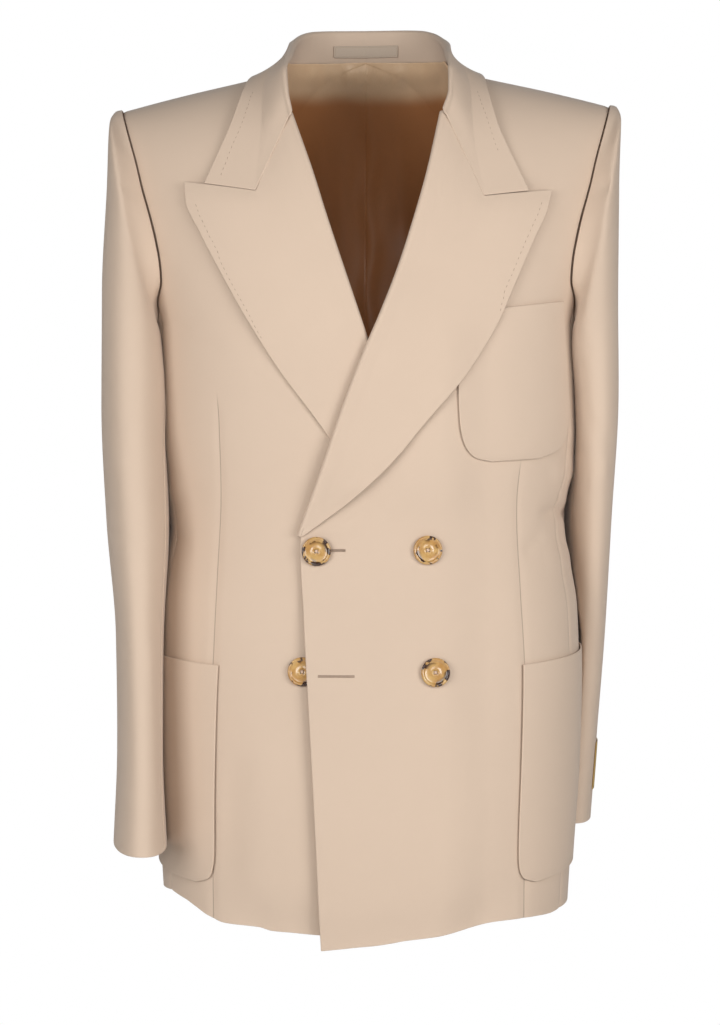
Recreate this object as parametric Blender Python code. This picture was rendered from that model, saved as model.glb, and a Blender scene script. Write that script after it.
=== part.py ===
"""A double breasted blazer, worn hollow, held at the shoulders. Metres, +Z up, front towards -Y."""

import math

import bmesh
import bpy
import numpy as np

# cloth and seams
CLOTH = 0.0016          # panels
SKIN = 0.0014           # lapels, collar and pockets
LINING = 0.0010
PLEAT = 0.0030          # how far the centre pleat of the lining stands forward
PLEAT_WIDE = 0.012
LINING_RISE = 0.0025    # up to the collar stand
GAP = 0.0004            # between layers
SEAM = 0.0012           # between the edges of neighbouring panels
LAY = CLOTH / 2 + GAP + SKIN / 2
EASE = 0.0009           # room under what is laid on a curved panel
SHANK = 0.0007          # room under a button

# form
UNDERARM = -0.22
BELOW = 0.25            # height that counts as one level below the underarm
SQUARE = 2.5            # section exponent
DOME = 2.25             # shoulder exponent
SHOULDER_HALF = 0.243
SIDE_FRONT = math.radians(68)
SIDE_BACK = math.radians(112)

# height, half width, front depth, back depth
BODY = (
    (-0.780, 0.1765, 0.127, 0.121),
    (-0.690, 0.1815, 0.127, 0.122),
    (-0.600, 0.1870, 0.126, 0.122),
    (-0.530, 0.1885, 0.124, 0.118),
    (-0.470, 0.1865, 0.119, 0.108),
    (-0.395, 0.1750, 0.113, 0.096),
    (-0.310, 0.1860, 0.122, 0.108),
    (-0.220, 0.1870, 0.125, 0.114),
)
# half width, height of the shoulder ridge
RIDGE = (
    (0.000, 0.0570),
    (0.040, 0.0425),
    (0.070, 0.0135),
    (0.082, -0.0008),
    (0.105, -0.0066),
    (0.160, -0.0194),
    (0.217, -0.0340),
    (0.260, -0.0460),
)
# share of the way up, front edge and roll line and neck (x, z), side seam and armhole (x, z)
FRONT_EDGES = (
    (0.00, -0.0378, -0.7475, None, -0.7290),
    (0.12, -0.0412, -0.6700, None, -0.6600),
    (0.27, -0.0465, -0.5650, None, -0.5600),
    (0.40, -0.0517, -0.4700, None, -0.4650),
    (0.50, -0.0548, -0.4050, None, -0.3850),
    (0.57, -0.0368, -0.3480, None, -0.3250),
    (0.64, -0.0180, -0.2980, None, -0.2680),
    (0.71, 0.0020, -0.2480, None, -0.2150),
    (0.77, 0.0190, -0.2060, 0.1745, -0.1830),
    (0.82, 0.0330, -0.1640, 0.1770, -0.1575),
    (0.87, 0.0450, -0.1270, 0.1830, -0.1310),
    (0.91, 0.0545, -0.0950, 0.1905, -0.1050),
    (0.95, 0.0636, -0.0440, 0.1975, -0.0780),
    (0.98, 0.0735, -0.0290, 0.2060, -0.0510),
    (1.00, 0.0800, 0.0045, 0.2130, None),
)
# share of the way up, centre back and neck (x, z), side seam and armhole (x, z)
BACK_EDGES = (
    (0.00, 0.0000, -0.7300, None, -0.7290),
    (0.20, 0.0000, -0.5600, None, -0.5600),
    (0.40, 0.0000, -0.3850, None, -0.3850),
    (0.56, 0.0000, -0.2100, None, -0.2150),
    (0.64, 0.0000, -0.1300, 0.1800, -0.1750),
    (0.72, 0.0000, -0.0600, 0.1860, -0.1400),
    (0.80, 0.0000, 0.0130, 0.1935, -0.1080),
    (0.90, 0.0400, 0.0120, 0.2020, -0.0700),
    (0.96, 0.0660, 0.0095, 0.2085, -0.0480),
    (1.00, 0.0790, 0.0055, 0.2130, None),
)
BACK_UNDERARM = 0.56
FRONT_UNDERARM = 0.71
FRONT_BREAK = 0.50
FRONT_GORGE = 0.95
LAPEL_ROWS = 15
ARMPIT_DIP = 0.018

# height, how far the upper front stands off the form near its edge
STAND_OFF = (
    (-0.760, 0.0080),
    (-0.620, 0.0076),
    (-0.515, 0.0076),
    (-0.430, 0.0050),
    (-0.390, 0.0058),
    (-0.355, 0.0082),
    (-0.260, 0.0080),
    (-0.220, 0.0052),
    (-0.170, 0.0000),
    (0.000, 0.0000),
)
STAND_OFF_FROM = 0.058
STAND_OFF_TO = 0.105

# roll line (x, z), middle of the lapel (x, z), outer edge (x, z)
LAPEL = {
    "left": (
        (-0.0542, -0.3995, -0.0531, -0.3991, -0.0518, -0.3986),
        (-0.0440, -0.3700, -0.0300, -0.3700, -0.0155, -0.3690),
        (-0.0293, -0.3275, -0.0035, -0.3300, 0.0229, -0.3320),
        (-0.0162, -0.2890, 0.0190, -0.2920, 0.0544, -0.2945),
        (-0.0011, -0.2490, 0.0415, -0.2530, 0.0846, -0.2580),
        (0.0137, -0.2146, 0.0590, -0.2190, 0.1064, -0.2235),
        (0.0300, -0.1730, 0.0745, -0.1810, 0.1226, -0.1870),
        (0.0429, -0.1330, 0.0870, -0.1500, 0.1385, -0.1510),
        (0.0535, -0.0960, 0.0935, -0.1300, 0.1500, -0.1270),
        (0.0636, -0.0440, 0.0974, -0.1165, 0.1545, -0.1105),
    ),
    "right": (
        (-0.0542, -0.3995, -0.0531, -0.3991, -0.0518, -0.3986),
        (-0.0440, -0.3700, -0.0305, -0.3700, -0.0170, -0.3690),
        (-0.0300, -0.3275, -0.0060, -0.3300, 0.0180, -0.3320),
        (-0.0170, -0.2890, 0.0140, -0.2920, 0.0458, -0.2945),
        (-0.0030, -0.2490, 0.0345, -0.2530, 0.0729, -0.2580),
        (0.0085, -0.2146, 0.0505, -0.2190, 0.0944, -0.2230),
        (0.0225, -0.1730, 0.0685, -0.1790, 0.1158, -0.1850),
        (0.0358, -0.1330, 0.0815, -0.1440, 0.1362, -0.1460),
        (0.0480, -0.0940, 0.0885, -0.1215, 0.1497, -0.1180),
        (0.0636, -0.0440, 0.0913, -0.1107, 0.1515, -0.1012),
    ),
}
FACING = 0.006          # turned in behind the roll line
# degrees round from the centre front, how far the hem rises there
HEM = {
    "left": (
        (-12, -0.0036),
        (-4, -0.0022),
        (0, -0.0010),
        (4, 0.0008),
        (7, 0.0022),
        (15, 0.0032),
        (20, 0.0046),
        (25, 0.0060),
        (33, 0.0073),
        (42, 0.0061),
        (50, 0.0040),
        (62, 0.0004),
        (68, 0.0000),
        (180, 0.0000),
    ),
    "right": (
        (-12, 0.0046),
        (15, 0.0045),
        (22, 0.0038),
        (26, 0.0054),
        (38, 0.0044),
        (45, 0.0079),
        (51, 0.0126),
        (57, 0.0158),
        (67, 0.0170),
        (80, 0.0140),
        (112, 0.0075),
        (180, 0.0000),
    ),
}
HEM_FADE = 0.12         # height over which the rise dies away
LAPEL_LIFT = 0.0026     # at the outer part
# height where the lift fades out, and where it is full, for each side
LIFT_FADE = {"left": (-0.315, -0.280), "right": (-0.270, -0.215)}
LIFT_LOW = 0.0040       # the upper lapel stands off again low down
LIFT_LOW_AT = -0.345
LIFT_LOW_WIDE = 0.032

# inside seam, fold, middle of the fall, outer edge, each (x, y, z), from the centre back to the front
COLLAR = (
    ((0.000, 0.0735, 0.0165), (0.000, 0.0790, 0.0467), (0.0000, 0.0880, 0.0225), (0.0000, 0.0915, -0.0080)),
    ((0.024, 0.0700, 0.0165), (0.025, 0.0750, 0.0463), (0.0265, 0.0840, 0.0220), (0.0300, 0.0880, -0.0080)),
    ((0.046, 0.0600, 0.0155), (0.046, 0.0605, 0.0437), (0.0525, 0.0690, 0.0200), (0.0595, 0.0755, -0.0055)),
    ((0.0655, 0.0390, 0.0120), (0.0595, 0.0385, 0.0368), (0.0700, 0.0450, 0.0170), (0.0820, 0.0510, -0.0035)),
    ((0.0740, 0.0180, 0.0095), (0.0645, 0.0160, 0.0278), (0.0755, 0.0190, 0.0138), (0.0925, 0.0215, -0.0010)),
    ((0.0765, -0.006, 0.0060), (0.0663, -0.0080, 0.0190), (0.0797, -0.0070, 0.0078), (0.0975, -0.0060, -0.0024)),
    ((0.0770, -0.032, 0.0020), (0.0668, -0.0330, 0.0108), (0.0820, -0.0340, 0.0026), (0.1015, -0.0330, -0.0080)),
)
# how much further in the fold leans at each of these, and the share of it at each line
COLLAR_LEAN = {
    "left": (0, 0, -0.0004, -0.0010, -0.0014, -0.0012, -0.0006),
    "right": (0, 0.0006, 0.0016, 0.0030, 0.0037, 0.0035, 0.0022),
}
COLLAR_LEAN_SHARE = (0.3, 1.0, 0.25, 0.1)
# the same on the front: inside seam (x, z), fold (x, z), middle (x, z), outer edge (x, z), inside and fold offsets
COLLAR_FRONT = {
    "left": (
        (0.0745, -0.0080, 0.0661, -0.0055, 0.0870, -0.0220, 0.1030, -0.0275, 0.0008, 0.0082),
        (0.0703, -0.0262, 0.0660, -0.0250, 0.0890, -0.0600, 0.1095, -0.0545, 0.0006, 0.0074),
        (0.0652, -0.0385, 0.0632, -0.0400, 0.0982, -0.1152, 0.1347, -0.1108, 0.0006, 0.0056),
    ),
    "right": (
        (0.0740, -0.0080, 0.0650, -0.0055, 0.0866, -0.0220, 0.1045, -0.0260, 0.0008, 0.0082),
        (0.0694, -0.0262, 0.0648, -0.0250, 0.0878, -0.0570, 0.1125, -0.0510, 0.0006, 0.0074),
        (0.0652, -0.0385, 0.0626, -0.0400, 0.0921, -0.1094, 0.1343, -0.1024, 0.0006, 0.0056),
    ),
}
COLLAR_ROLL = 0.0032

# (x, z) corners of the chest pocket as rows from the bottom: left edge, right edge
CHEST_POCKET = (
    (0.1050, -0.3360, 0.1450, -0.3342),
    (0.0915, -0.3325, 0.1625, -0.3278),
    (0.0820, -0.3220, 0.1700, -0.3155),
    (0.0775, -0.3050, 0.1725, -0.2960),
    (0.0757, -0.2700, 0.1700, -0.2600),
    (0.0748, -0.2125, 0.1660, -0.2018),
)
# inner edge (x, z), outer edge (degrees round from the front, z)
HIP_POCKET = (
    (0.1440, -0.6985, 108.0, -0.6880),
    (0.1335, -0.6935, 113.0, -0.6830),
    (0.1295, -0.6800, 115.0, -0.6700),
    (0.1290, -0.6200, 115.0, -0.6120),
    (0.1265, -0.5108, 115.0, -0.5010),
)
POCKET_LEAN = {"left": 0.0065, "right": -0.0015}   # how much further out the inner edge starts at the top

# sleeves: outer (x, z), inner (x, z), front y, back y, outward shift of the back against the front
SLEEVES = {
    "right": (
        (0.2222, -0.0405, 0.1740, -0.2420, -0.084, 0.064, 0.000),
        (0.2254, -0.1000, 0.1720, -0.2560, -0.092, 0.068, 0.003),
        (0.2302, -0.1900, 0.1705, -0.2800, -0.098, 0.066, 0.006),
        (0.2309, -0.2900, 0.1735, -0.3300, -0.105, 0.056, 0.010),
        (0.2264, -0.3900, 0.1747, -0.4000, -0.112, 0.044, 0.010),
        (0.2177, -0.4900, 0.1786, -0.4930, -0.122, 0.030, 0.012),
        (0.2161, -0.5900, 0.1780, -0.5900, -0.129, 0.015, 0.016),
        (0.2188, -0.6690, 0.1740, -0.6695, -0.134, 0.001, 0.014),
    ),
    "left": (
        (0.2212, -0.0415, 0.1725, -0.2420, -0.081, 0.064, 0.000),
        (0.2197, -0.1000, 0.1726, -0.2560, -0.086, 0.070, 0.000),
        (0.2193, -0.1900, 0.1749, -0.2800, -0.080, 0.078, -0.003),
        (0.2201, -0.2900, 0.1770, -0.3300, -0.068, 0.088, -0.006),
        (0.2160, -0.3900, 0.1776, -0.4000, -0.042, 0.108, -0.009),
        (0.2140, -0.4900, 0.1765, -0.4930, -0.008, 0.138, -0.010),
        (0.2113, -0.5900, 0.1720, -0.5900, 0.022, 0.160, -0.008),
        (0.2080, -0.6735, 0.1660, -0.6735, 0.040, 0.172, -0.006),
    ),
}
SLEEVE_SQUARE = 2.25
SEAM_FRONT = 148.0      # degrees round the sleeve from its outer line
SEAM_BACK = -138.0
SLEEVE_SEAM = 0.0010    # from the armhole edge, along the cloth
SLEEVE_OUT = 0.0021     # and out from it
ROPE_OUT = 0.0045       # the roped head: sideways, all round and more at the top
ROPE_ROUND = 0.0020
ROPE_TOP = -0.0030
ROPE_UNDER = 0.0040     # sideways again under the arm
SLEEVE_TUCK = 0.012     # the inner back part stays further out than the inner front
SLEEVE_CLEAR = 0.0040   # from the body, and more over the hip pockets
SLEEVE_CLEAR_POCKET = 0.0035

# (x, z) of the button centres, and what each lies on
BUTTONS = {
    "button_upper_right": (-0.0414, -0.4124, "left"),
    "button_upper_left": (0.0510, -0.4114, "left"),
    "button_lower_left": (0.0570, -0.5139, "left"),
    "button_lower_right": (-0.0538, -0.5136, "right"),
}
# radius, height above the back of the button
BUTTON_PROFILE = (
    (0.0106, 0.0000),
    (0.0120, 0.0008),
    (0.0123, 0.0018),
    (0.0118, 0.0028),
    (0.0106, 0.0031),
    (0.0094, 0.0025),
    (0.0070, 0.0019),
    (0.0035, 0.0017),
)

# colours
MATERIALS = {
    "wool": ((0.72, 0.58, 0.46), 0.85),
    "satin": ((0.26, 0.15, 0.09), 0.35),
    "horn": ((0.55, 0.30, 0.10), 0.30),
    "ribbon": ((0.60, 0.47, 0.36), 0.70),
    "gold_ribbon": ((0.62, 0.42, 0.13), 0.60),
}


def smooth(x, lo, hi):
    t = np.clip((np.asarray(x, float) - lo) / (hi - lo), 0, 1)
    return t * t * (3 - 2 * t)


def curve(table, column, at, key=0):
    """A smooth curve through one column of a table against its key column."""
    rows = np.array([[r[key], r[column]] for r in table], float)
    k, v = rows[:, 0], rows[:, 1]
    slope = np.diff(v) / np.diff(k)
    product = slope[:-1] * slope[1:]
    middle = np.where(product > 0, 2 * product / (np.abs(slope[:-1] + slope[1:]) + 1e-12), 0)
    middle = middle * np.sign(slope[1:])
    tangent = np.concatenate([[slope[0]], middle, [slope[-1]]])
    at = np.clip(np.asarray(at, float), k[0], k[-1])
    i = np.clip(np.searchsorted(k, at) - 1, 0, len(k) - 2)
    h = k[i + 1] - k[i]
    t = (at - k[i]) / h
    a = (2 * t**3 - 3 * t**2 + 1) * v[i] + (t**3 - 2 * t**2 + t) * h * tangent[i]
    return a + (3 * t**2 - 2 * t**3) * v[i + 1] + (t**3 - t**2) * h * tangent[i + 1]


def through(points, at):
    """A smooth curve through points at even shares of its length, at the given shares."""
    points = np.asarray(points, float)
    step = np.linspace(0, 1, len(points))
    table = np.column_stack([step, points])
    return np.stack([curve(table, c, at) for c in range(1, table.shape[1])], axis=-1)


def ridge(x):
    return curve(RIDGE, 1, np.abs(x))


def form(angle, level):
    """A point of the body form: angle from the centre front, level up from the underarm."""
    angle, level = np.broadcast_arrays(np.asarray(angle, float), np.asarray(level, float))
    low = UNDERARM + np.minimum(level, 0) * BELOW
    up = np.clip(level, 0, 1) * math.pi / 2
    half = curve(BODY, 1, low) + (SHOULDER_HALF - BODY[-1][1]) * np.sin(up)
    front, back = curve(BODY, 2, low), curve(BODY, 3, low)
    s, c = np.sin(angle), np.cos(angle)
    x = half * np.sign(s) * np.abs(s) ** (2 / SQUARE)
    depth = np.where(c > 0, -front, back)
    y = depth * np.abs(c) ** (2 / SQUARE) * np.cos(up) ** (2 / DOME)
    z = low + (ridge(x) - UNDERARM) * np.sin(up) ** (2 / DOME)
    return np.stack([x, y, z], axis=-1)


def find(x, z, back=False):
    """The angle and level of the point of the form that is seen at x, z."""
    x, z = np.broadcast_arrays(np.asarray(x, float), np.asarray(z, float))
    low = np.minimum(z, UNDERARM)
    share = np.clip((z - UNDERARM) / (ridge(x) - UNDERARM), 0, 1)
    up = np.arcsin(share ** (DOME / 2))
    half = curve(BODY, 1, low) + (SHOULDER_HALF - BODY[-1][1]) * np.sin(up)
    s = np.clip(np.abs(x) / half, 0, 1) ** (SQUARE / 2)
    angle = np.sign(x) * np.arcsin(s)
    if back:
        angle = math.pi - angle
    return angle, (low - UNDERARM) / BELOW + up / (math.pi / 2)


def shell(angle, level, out):
    """A point moved out from the form along its normal, and the normal."""
    level = np.minimum(level, 0.9985)
    step = 1e-4
    across = form(angle + step, level) - form(angle - step, level)
    upward = form(angle, level + step) - form(angle, level - step)
    normal = np.cross(across, upward)
    normal /= np.linalg.norm(normal, axis=-1, keepdims=True)
    return form(angle, level) + normal * np.asarray(out, float)[..., None], normal


def stand_off(x, z, side):
    if side == "right":
        return np.zeros(np.broadcast(x, z).shape)
    return curve(STAND_OFF, 1, z) * (1 - smooth(x, STAND_OFF_FROM, STAND_OFF_TO))


def on_front(x, z, out, side):
    """A point above the front at x, z, with its normal."""
    angle, level = find(x, z)
    return shell(angle, level, stand_off(np.asarray(x), np.asarray(z), side) + out)


def edge_rows(table, share, back, side="right"):
    """The angles and levels of a panel's inner and outer edges at the given shares."""
    x, z = curve(table, 1, share), curve(table, 2, share)
    if not back:
        on_lapel = (share >= FRONT_BREAK) & (share <= FRONT_GORGE + 1e-9)
        roll = through(LAPEL[side], np.clip((share - FRONT_BREAK) / (FRONT_GORGE - FRONT_BREAK), 0, 1))
        x, z = np.where(on_lapel, roll[:, 0], x), np.where(on_lapel, roll[:, 1], z)
    inner = find(np.maximum(x, GAP) if back else x, z, back)
    seam = SIDE_BACK if back else SIDE_FRONT
    angles, levels, knots = [], [], []
    for row in table:
        if row[3] is None:
            angle, level = seam, (row[4] - UNDERARM) / BELOW
        elif row[4] is None:
            angle, level = find(row[3], 0.0, back)[0], 1.0
        else:
            angle, level = find(row[3], row[4], back)
        angles.append(float(angle))
        levels.append(float(level))
        knots.append(row[0])
    seam_table = np.column_stack([knots, angles, levels])
    return inner, (curve(seam_table, 1, share), curve(seam_table, 2, share))


def front_shares():
    low = np.linspace(0, FRONT_BREAK, 14)[:-1]
    lapel = FRONT_BREAK + (FRONT_GORGE - FRONT_BREAK) * np.linspace(0, 1, LAPEL_ROWS)
    return np.concatenate([low, lapel, np.linspace(FRONT_GORGE, 1, 4)[1:]])


def back_shares():
    return np.concatenate([np.linspace(0, BACK_UNDERARM, 9)[:-1], np.linspace(BACK_UNDERARM, 1, 12)])


def hem_rise(angle, level, side):
    """Levels moved up near the hem, so that it hangs as uneven as the real one."""
    rise = curve(HEM[side], 1, np.degrees(angle))
    above = UNDERARM + level * BELOW + 0.7475
    return level + rise * (1 - smooth(above, 0, HEM_FADE)) / BELOW


def panel_grid(table, share, columns, back=False, side="right"):
    """Points and normals of a front or a back, row by row from the hem to the shoulder."""
    (a0, l0), (a1, l1) = edge_rows(table, share, back, side)
    inset = SEAM / 2 / 0.15
    if back:
        a1 = a1 + inset
    else:
        a1 = a1 - inset
    t = np.linspace(0, 1, columns)
    angle = a0[:, None] + (a1 - a0)[:, None] * t
    level = hem_rise(angle, l0[:, None] + (l1 - l0)[:, None] * t, side)
    flat = form(angle, np.minimum(level, 0.9985))
    out = np.zeros(angle.shape) if back else stand_off(flat[..., 0], flat[..., 2], side)
    return shell(angle, level, out)


def side_grid(rows, columns, side):
    t = np.linspace(0, 1, columns)
    inset = SEAM / 2 / 0.15
    angle = SIDE_FRONT + inset + (SIDE_BACK - SIDE_FRONT - 2 * inset) * t
    top = (-0.2150 - UNDERARM) - ARMPIT_DIP * np.sin(math.pi * t) ** 0.8
    bottom = -0.7290 - UNDERARM
    up = np.linspace(0, 1, rows)[:, None]
    level = (bottom + (top - bottom) * up) / BELOW
    level = hem_rise(angle[None, :] + 0 * level, level, side)
    return shell(angle[None, :] + 0 * level, level, np.zeros(level.shape))


def armhole():
    """The armhole as seen from the side, from the shoulder tip down the front and up the back."""
    front = edge_rows(FRONT_EDGES, np.linspace(1, FRONT_UNDERARM, 24), False)[1]
    back = edge_rows(BACK_EDGES, np.linspace(BACK_UNDERARM, 1, 24), True)[1]
    t = np.linspace(0, 1, 14)[1:-1]
    bottom = (-0.2150 - UNDERARM - ARMPIT_DIP * np.sin(math.pi * t) ** 0.8) / BELOW
    angles = np.concatenate([front[0], SIDE_FRONT + (SIDE_BACK - SIDE_FRONT) * t, back[0]])
    levels = np.concatenate([front[1], bottom, back[1]])
    return shell(angles, levels, np.zeros(angles.shape))


def sleeve_ring(row, turn):
    outer_x, outer_z, inner_x, inner_z, front, back, lean = row
    c, s = np.cos(turn), np.sin(turn)
    c = np.sign(c) * np.abs(c) ** (2 / SLEEVE_SQUARE)
    s = np.sign(s) * np.abs(s) ** (2 / SLEEVE_SQUARE)
    x = (outer_x + inner_x) / 2 + (outer_x - inner_x) / 2 * c - lean * s / 2
    x = x + SLEEVE_TUCK * np.maximum(-s, 0) * (1 - c) / 2
    z = (outer_z + inner_z) / 2 + (outer_z - inner_z) / 2 * c
    y = (front + back) / 2 + (front - back) / 2 * s
    return np.stack([x, y, z], axis=-1)


def sleeve_grid(side, rows, turns):
    """Rings from the armhole to the cuff, at the given turns round the sleeve."""
    loop, normal = armhole()
    middle = np.array([0.2, (loop[:, 1].max() + loop[:, 1].min()) / 2, -0.132])
    bearing = np.unwrap(np.arctan2(-(loop[:, 1] - middle[1]) / 0.068, (loop[:, 2] - middle[2]) / 0.1))
    order = np.argsort(bearing)
    away = np.cross(np.gradient(loop, axis=0), normal)
    inside = ((middle - loop) * away)[:, 1:].sum(axis=1, keepdims=True)
    away *= np.sign(inside) / np.linalg.norm(away, axis=1, keepdims=True)
    table = np.column_stack([bearing[order], (loop + away * SLEEVE_SEAM + normal * SLEEVE_OUT)[order]])
    wrapped = np.concatenate([table - [2 * math.pi, 0, 0, 0], table, table + [2 * math.pi, 0, 0, 0]])
    start = np.stack([np.interp(turns, wrapped[:, 0], wrapped[:, c]) for c in (1, 2, 3)], axis=-1)
    outward = start - middle
    outward[:, 0] = 0
    outward /= np.linalg.norm(outward, axis=1, keepdims=True)
    first = start
    sideways = np.zeros(first.shape)
    sideways[:, 0] = ROPE_OUT + ROPE_UNDER * np.maximum(-np.cos(turns), 0)
    rope = first + sideways + outward * (ROPE_ROUND + ROPE_TOP * np.maximum(np.cos(turns), 0))[:, None]
    rings = [first, rope] + [sleeve_ring(r, turns) for r in SLEEVES[side]]
    length = np.array([0, 0.006, 0.022, 0.09, 0.17, 0.27, 0.37, 0.47, 0.57, 0.66]) / 0.66
    at = np.interp(np.linspace(0, 1, rows) ** 1.25, [0, 1], [0, 1])
    out = []
    for c in range(3):
        values = np.stack([ring[:, c] for ring in rings])
        out.append(np.stack([curve(np.column_stack([length, values[:, j]]), 1, at) for j in range(len(turns))], 1))
    grid = np.stack(out, axis=-1)
    low = np.minimum(grid[..., 2], UNDERARM)
    risen = np.clip((grid[..., 2] - UNDERARM) / (ridge(0.19) - UNDERARM), 0, 0.96) ** (DOME / 2)
    half = curve(BODY, 1, low) + (SHOULDER_HALF - BODY[-1][1]) * risen
    depth = np.where(grid[..., 1] < 0, curve(BODY, 2, low), curve(BODY, 3, low)) * (1 - risen**2) ** (1 / DOME)
    across = np.clip(1 - (np.abs(grid[..., 1]) / depth) ** SQUARE, 0, 1) ** (1 / SQUARE)
    clear = SLEEVE_OUT + (SLEEVE_CLEAR - SLEEVE_OUT) * smooth(at, 0.0, 0.06)[:, None]
    clear = clear + SLEEVE_CLEAR_POCKET * smooth(-grid[..., 2], 0.46, 0.50)
    soft = 0.0012 * smooth(at, 0.0, 0.04)[:, None] + 0.0001
    body = half * across + clear
    weight = smooth(at, 0.0, 0.03)[:, None] * smooth(-grid[..., 2], 0.180, 0.215)
    grid[..., 0] += soft * np.logaddexp(0, (body - grid[..., 0]) / soft) * weight
    return grid


def lapel_grid(side, rows, across, turn_steps=5):
    share = np.linspace(0, 1, rows)
    table = through(LAPEL[side], share)
    table[-1] = LAPEL[side][-1]
    half = across // 2
    q = np.concatenate([np.linspace(0, 0.5, half + 1), np.linspace(0.5, 1, across - half + 1)[1:]])
    x = np.where(q < 0.5, table[:, :1] + (table[:, 2:3] - table[:, :1]) * 2 * q,
                 table[:, 2:3] + (table[:, 4:5] - table[:, 2:3]) * (2 * q - 1))
    z = np.where(q < 0.5, table[:, 1:2] + (table[:, 3:4] - table[:, 1:2]) * 2 * q,
                 table[:, 3:4] + (table[:, 5:6] - table[:, 3:4]) * (2 * q - 1))
    low, high = LIFT_FADE[side]
    wide = smooth(np.hypot(table[:, 4] - table[:, 0], table[:, 5] - table[:, 1]), 0, 0.04)[:, None]
    lift = LAPEL_LIFT * smooth(z, low, high)
    if side == "left":
        lift = lift + LIFT_LOW * np.exp(-(((z - LIFT_LOW_AT) / LIFT_LOW_WIDE) ** 2))
    lift = lift * smooth(q, 0, 0.7)[None, :] * wide
    run = np.hypot(x - x[:, :1], z - z[:, :1])
    face = on_front(x, z, LAY + GAP / 2 + EASE * smooth(run, 0.0, 0.012) + lift, side)[0]
    root, root_normal = on_front(x[:, 0], z[:, 0], 0.0, side)
    inward = np.cross(np.gradient(root, axis=0), root_normal)
    inward *= np.sign(inward[:, :1])
    inward /= np.linalg.norm(inward, axis=1, keepdims=True)
    turned = np.minimum(FACING, 0.5 * np.linalg.norm(face[:, -1] - face[:, 0], axis=1))[:, None]
    strip = [root - root_normal * (LAY + EASE) + inward * turned, root - root_normal * (LAY + GAP / 2)]
    for k in range(1, turn_steps):
        a = math.pi * k / turn_steps
        bulge = LAY + GAP / 2 + EASE * math.sin(a)
        strip.append(root - root_normal * bulge * math.cos(a) - inward * bulge * math.sin(a))
    return np.concatenate([np.stack(strip, axis=1), face], axis=1)


def collar_grid(along, stand_steps, fall_steps, roll_steps=4):
    """Columns from one front end round the back to the other, rows from the inside seam to the edge."""
    halves = []
    for side in ("right", "left"):
        stations = [np.array(row, float) for row in COLLAR]
        for station, lean in zip(stations, COLLAR_LEAN[side]):
            station[:, 0] -= lean * np.array(COLLAR_LEAN_SHARE)
        for row in COLLAR_FRONT[side]:
            seam = on_front(row[0], row[1], row[8], "right")[0]
            fold = on_front(row[2], row[3], row[9], "right")[0]
            middle = on_front(row[4], row[5], LAY + EASE + LAPEL_LIFT, "right")[0]
            edge = on_front(row[6], row[7], LAY + EASE + LAPEL_LIFT, "right")[0]
            stations.append(np.array([seam, fold, middle, edge]))
        halves.append([through([s[k] for s in stations], np.linspace(0, 1, along)) for k in range(4)])
    lines = [np.concatenate([a[:0:-1] * [-1, 1, 1], b]) for a, b in zip(*halves)]
    seam, fold, middle, edge = lines
    up = fold - seam
    up /= np.linalg.norm(up, axis=1, keepdims=True)
    down = middle - fold
    spread = down - (down * up).sum(1, keepdims=True) * up
    spread /= np.linalg.norm(spread, axis=1, keepdims=True)
    tall = np.linalg.norm(fold - seam, axis=1)[:, None]
    radius = np.minimum(COLLAR_ROLL, tall * 0.4)
    rows = [seam + (fold - up * radius - seam) * t for t in np.linspace(0, 1, stand_steps + 1)]
    centre = fold - up * radius + spread * radius
    for k in range(1, roll_steps + 1):
        a = math.pi * 0.86 * k / roll_steps
        rows.append(centre - spread * radius * math.cos(a) + up * radius * math.sin(a))
    start = rows[-1]
    for t in np.linspace(0, 1, fall_steps + 1)[1:]:
        rows.append(start + (middle - start) * t)
    for t in np.linspace(0, 1, fall_steps + 1)[1:]:
        rows.append(middle + (edge - middle) * t)
    return np.stack(rows, axis=0)


def grid_normals(grid):
    along = np.gradient(grid, axis=0)
    across = np.gradient(grid, axis=1)
    normal = np.cross(across, along)
    return normal / np.maximum(np.linalg.norm(normal, axis=-1, keepdims=True), 1e-12)


def material(name):
    made = bpy.data.materials.get(name)
    if made:
        return made
    colour, rough = MATERIALS[name]
    made = bpy.data.materials.new(name)
    made.use_nodes = True
    principled = made.node_tree.nodes["Principled BSDF"]
    principled.inputs["Base Color"].default_value = (*colour, 1)
    principled.inputs["Roughness"].default_value = rough
    return made


def add_mesh(name, points, faces, slot):
    mesh = bpy.data.meshes.new(name)
    mesh.from_pydata([tuple(p) for p in points], [], [tuple(f) for f in faces])
    shape = bmesh.new()
    shape.from_mesh(mesh)
    bmesh.ops.triangulate(shape, faces=shape.faces[:])
    if shape.calc_volume(signed=True) < 0:
        bmesh.ops.reverse_faces(shape, faces=shape.faces[:])
    shape.to_mesh(mesh)
    shape.free()
    mesh.materials.append(material(slot))
    made = bpy.data.objects.new(name, mesh)
    bpy.context.scene.collection.objects.link(made)
    return made


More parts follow.
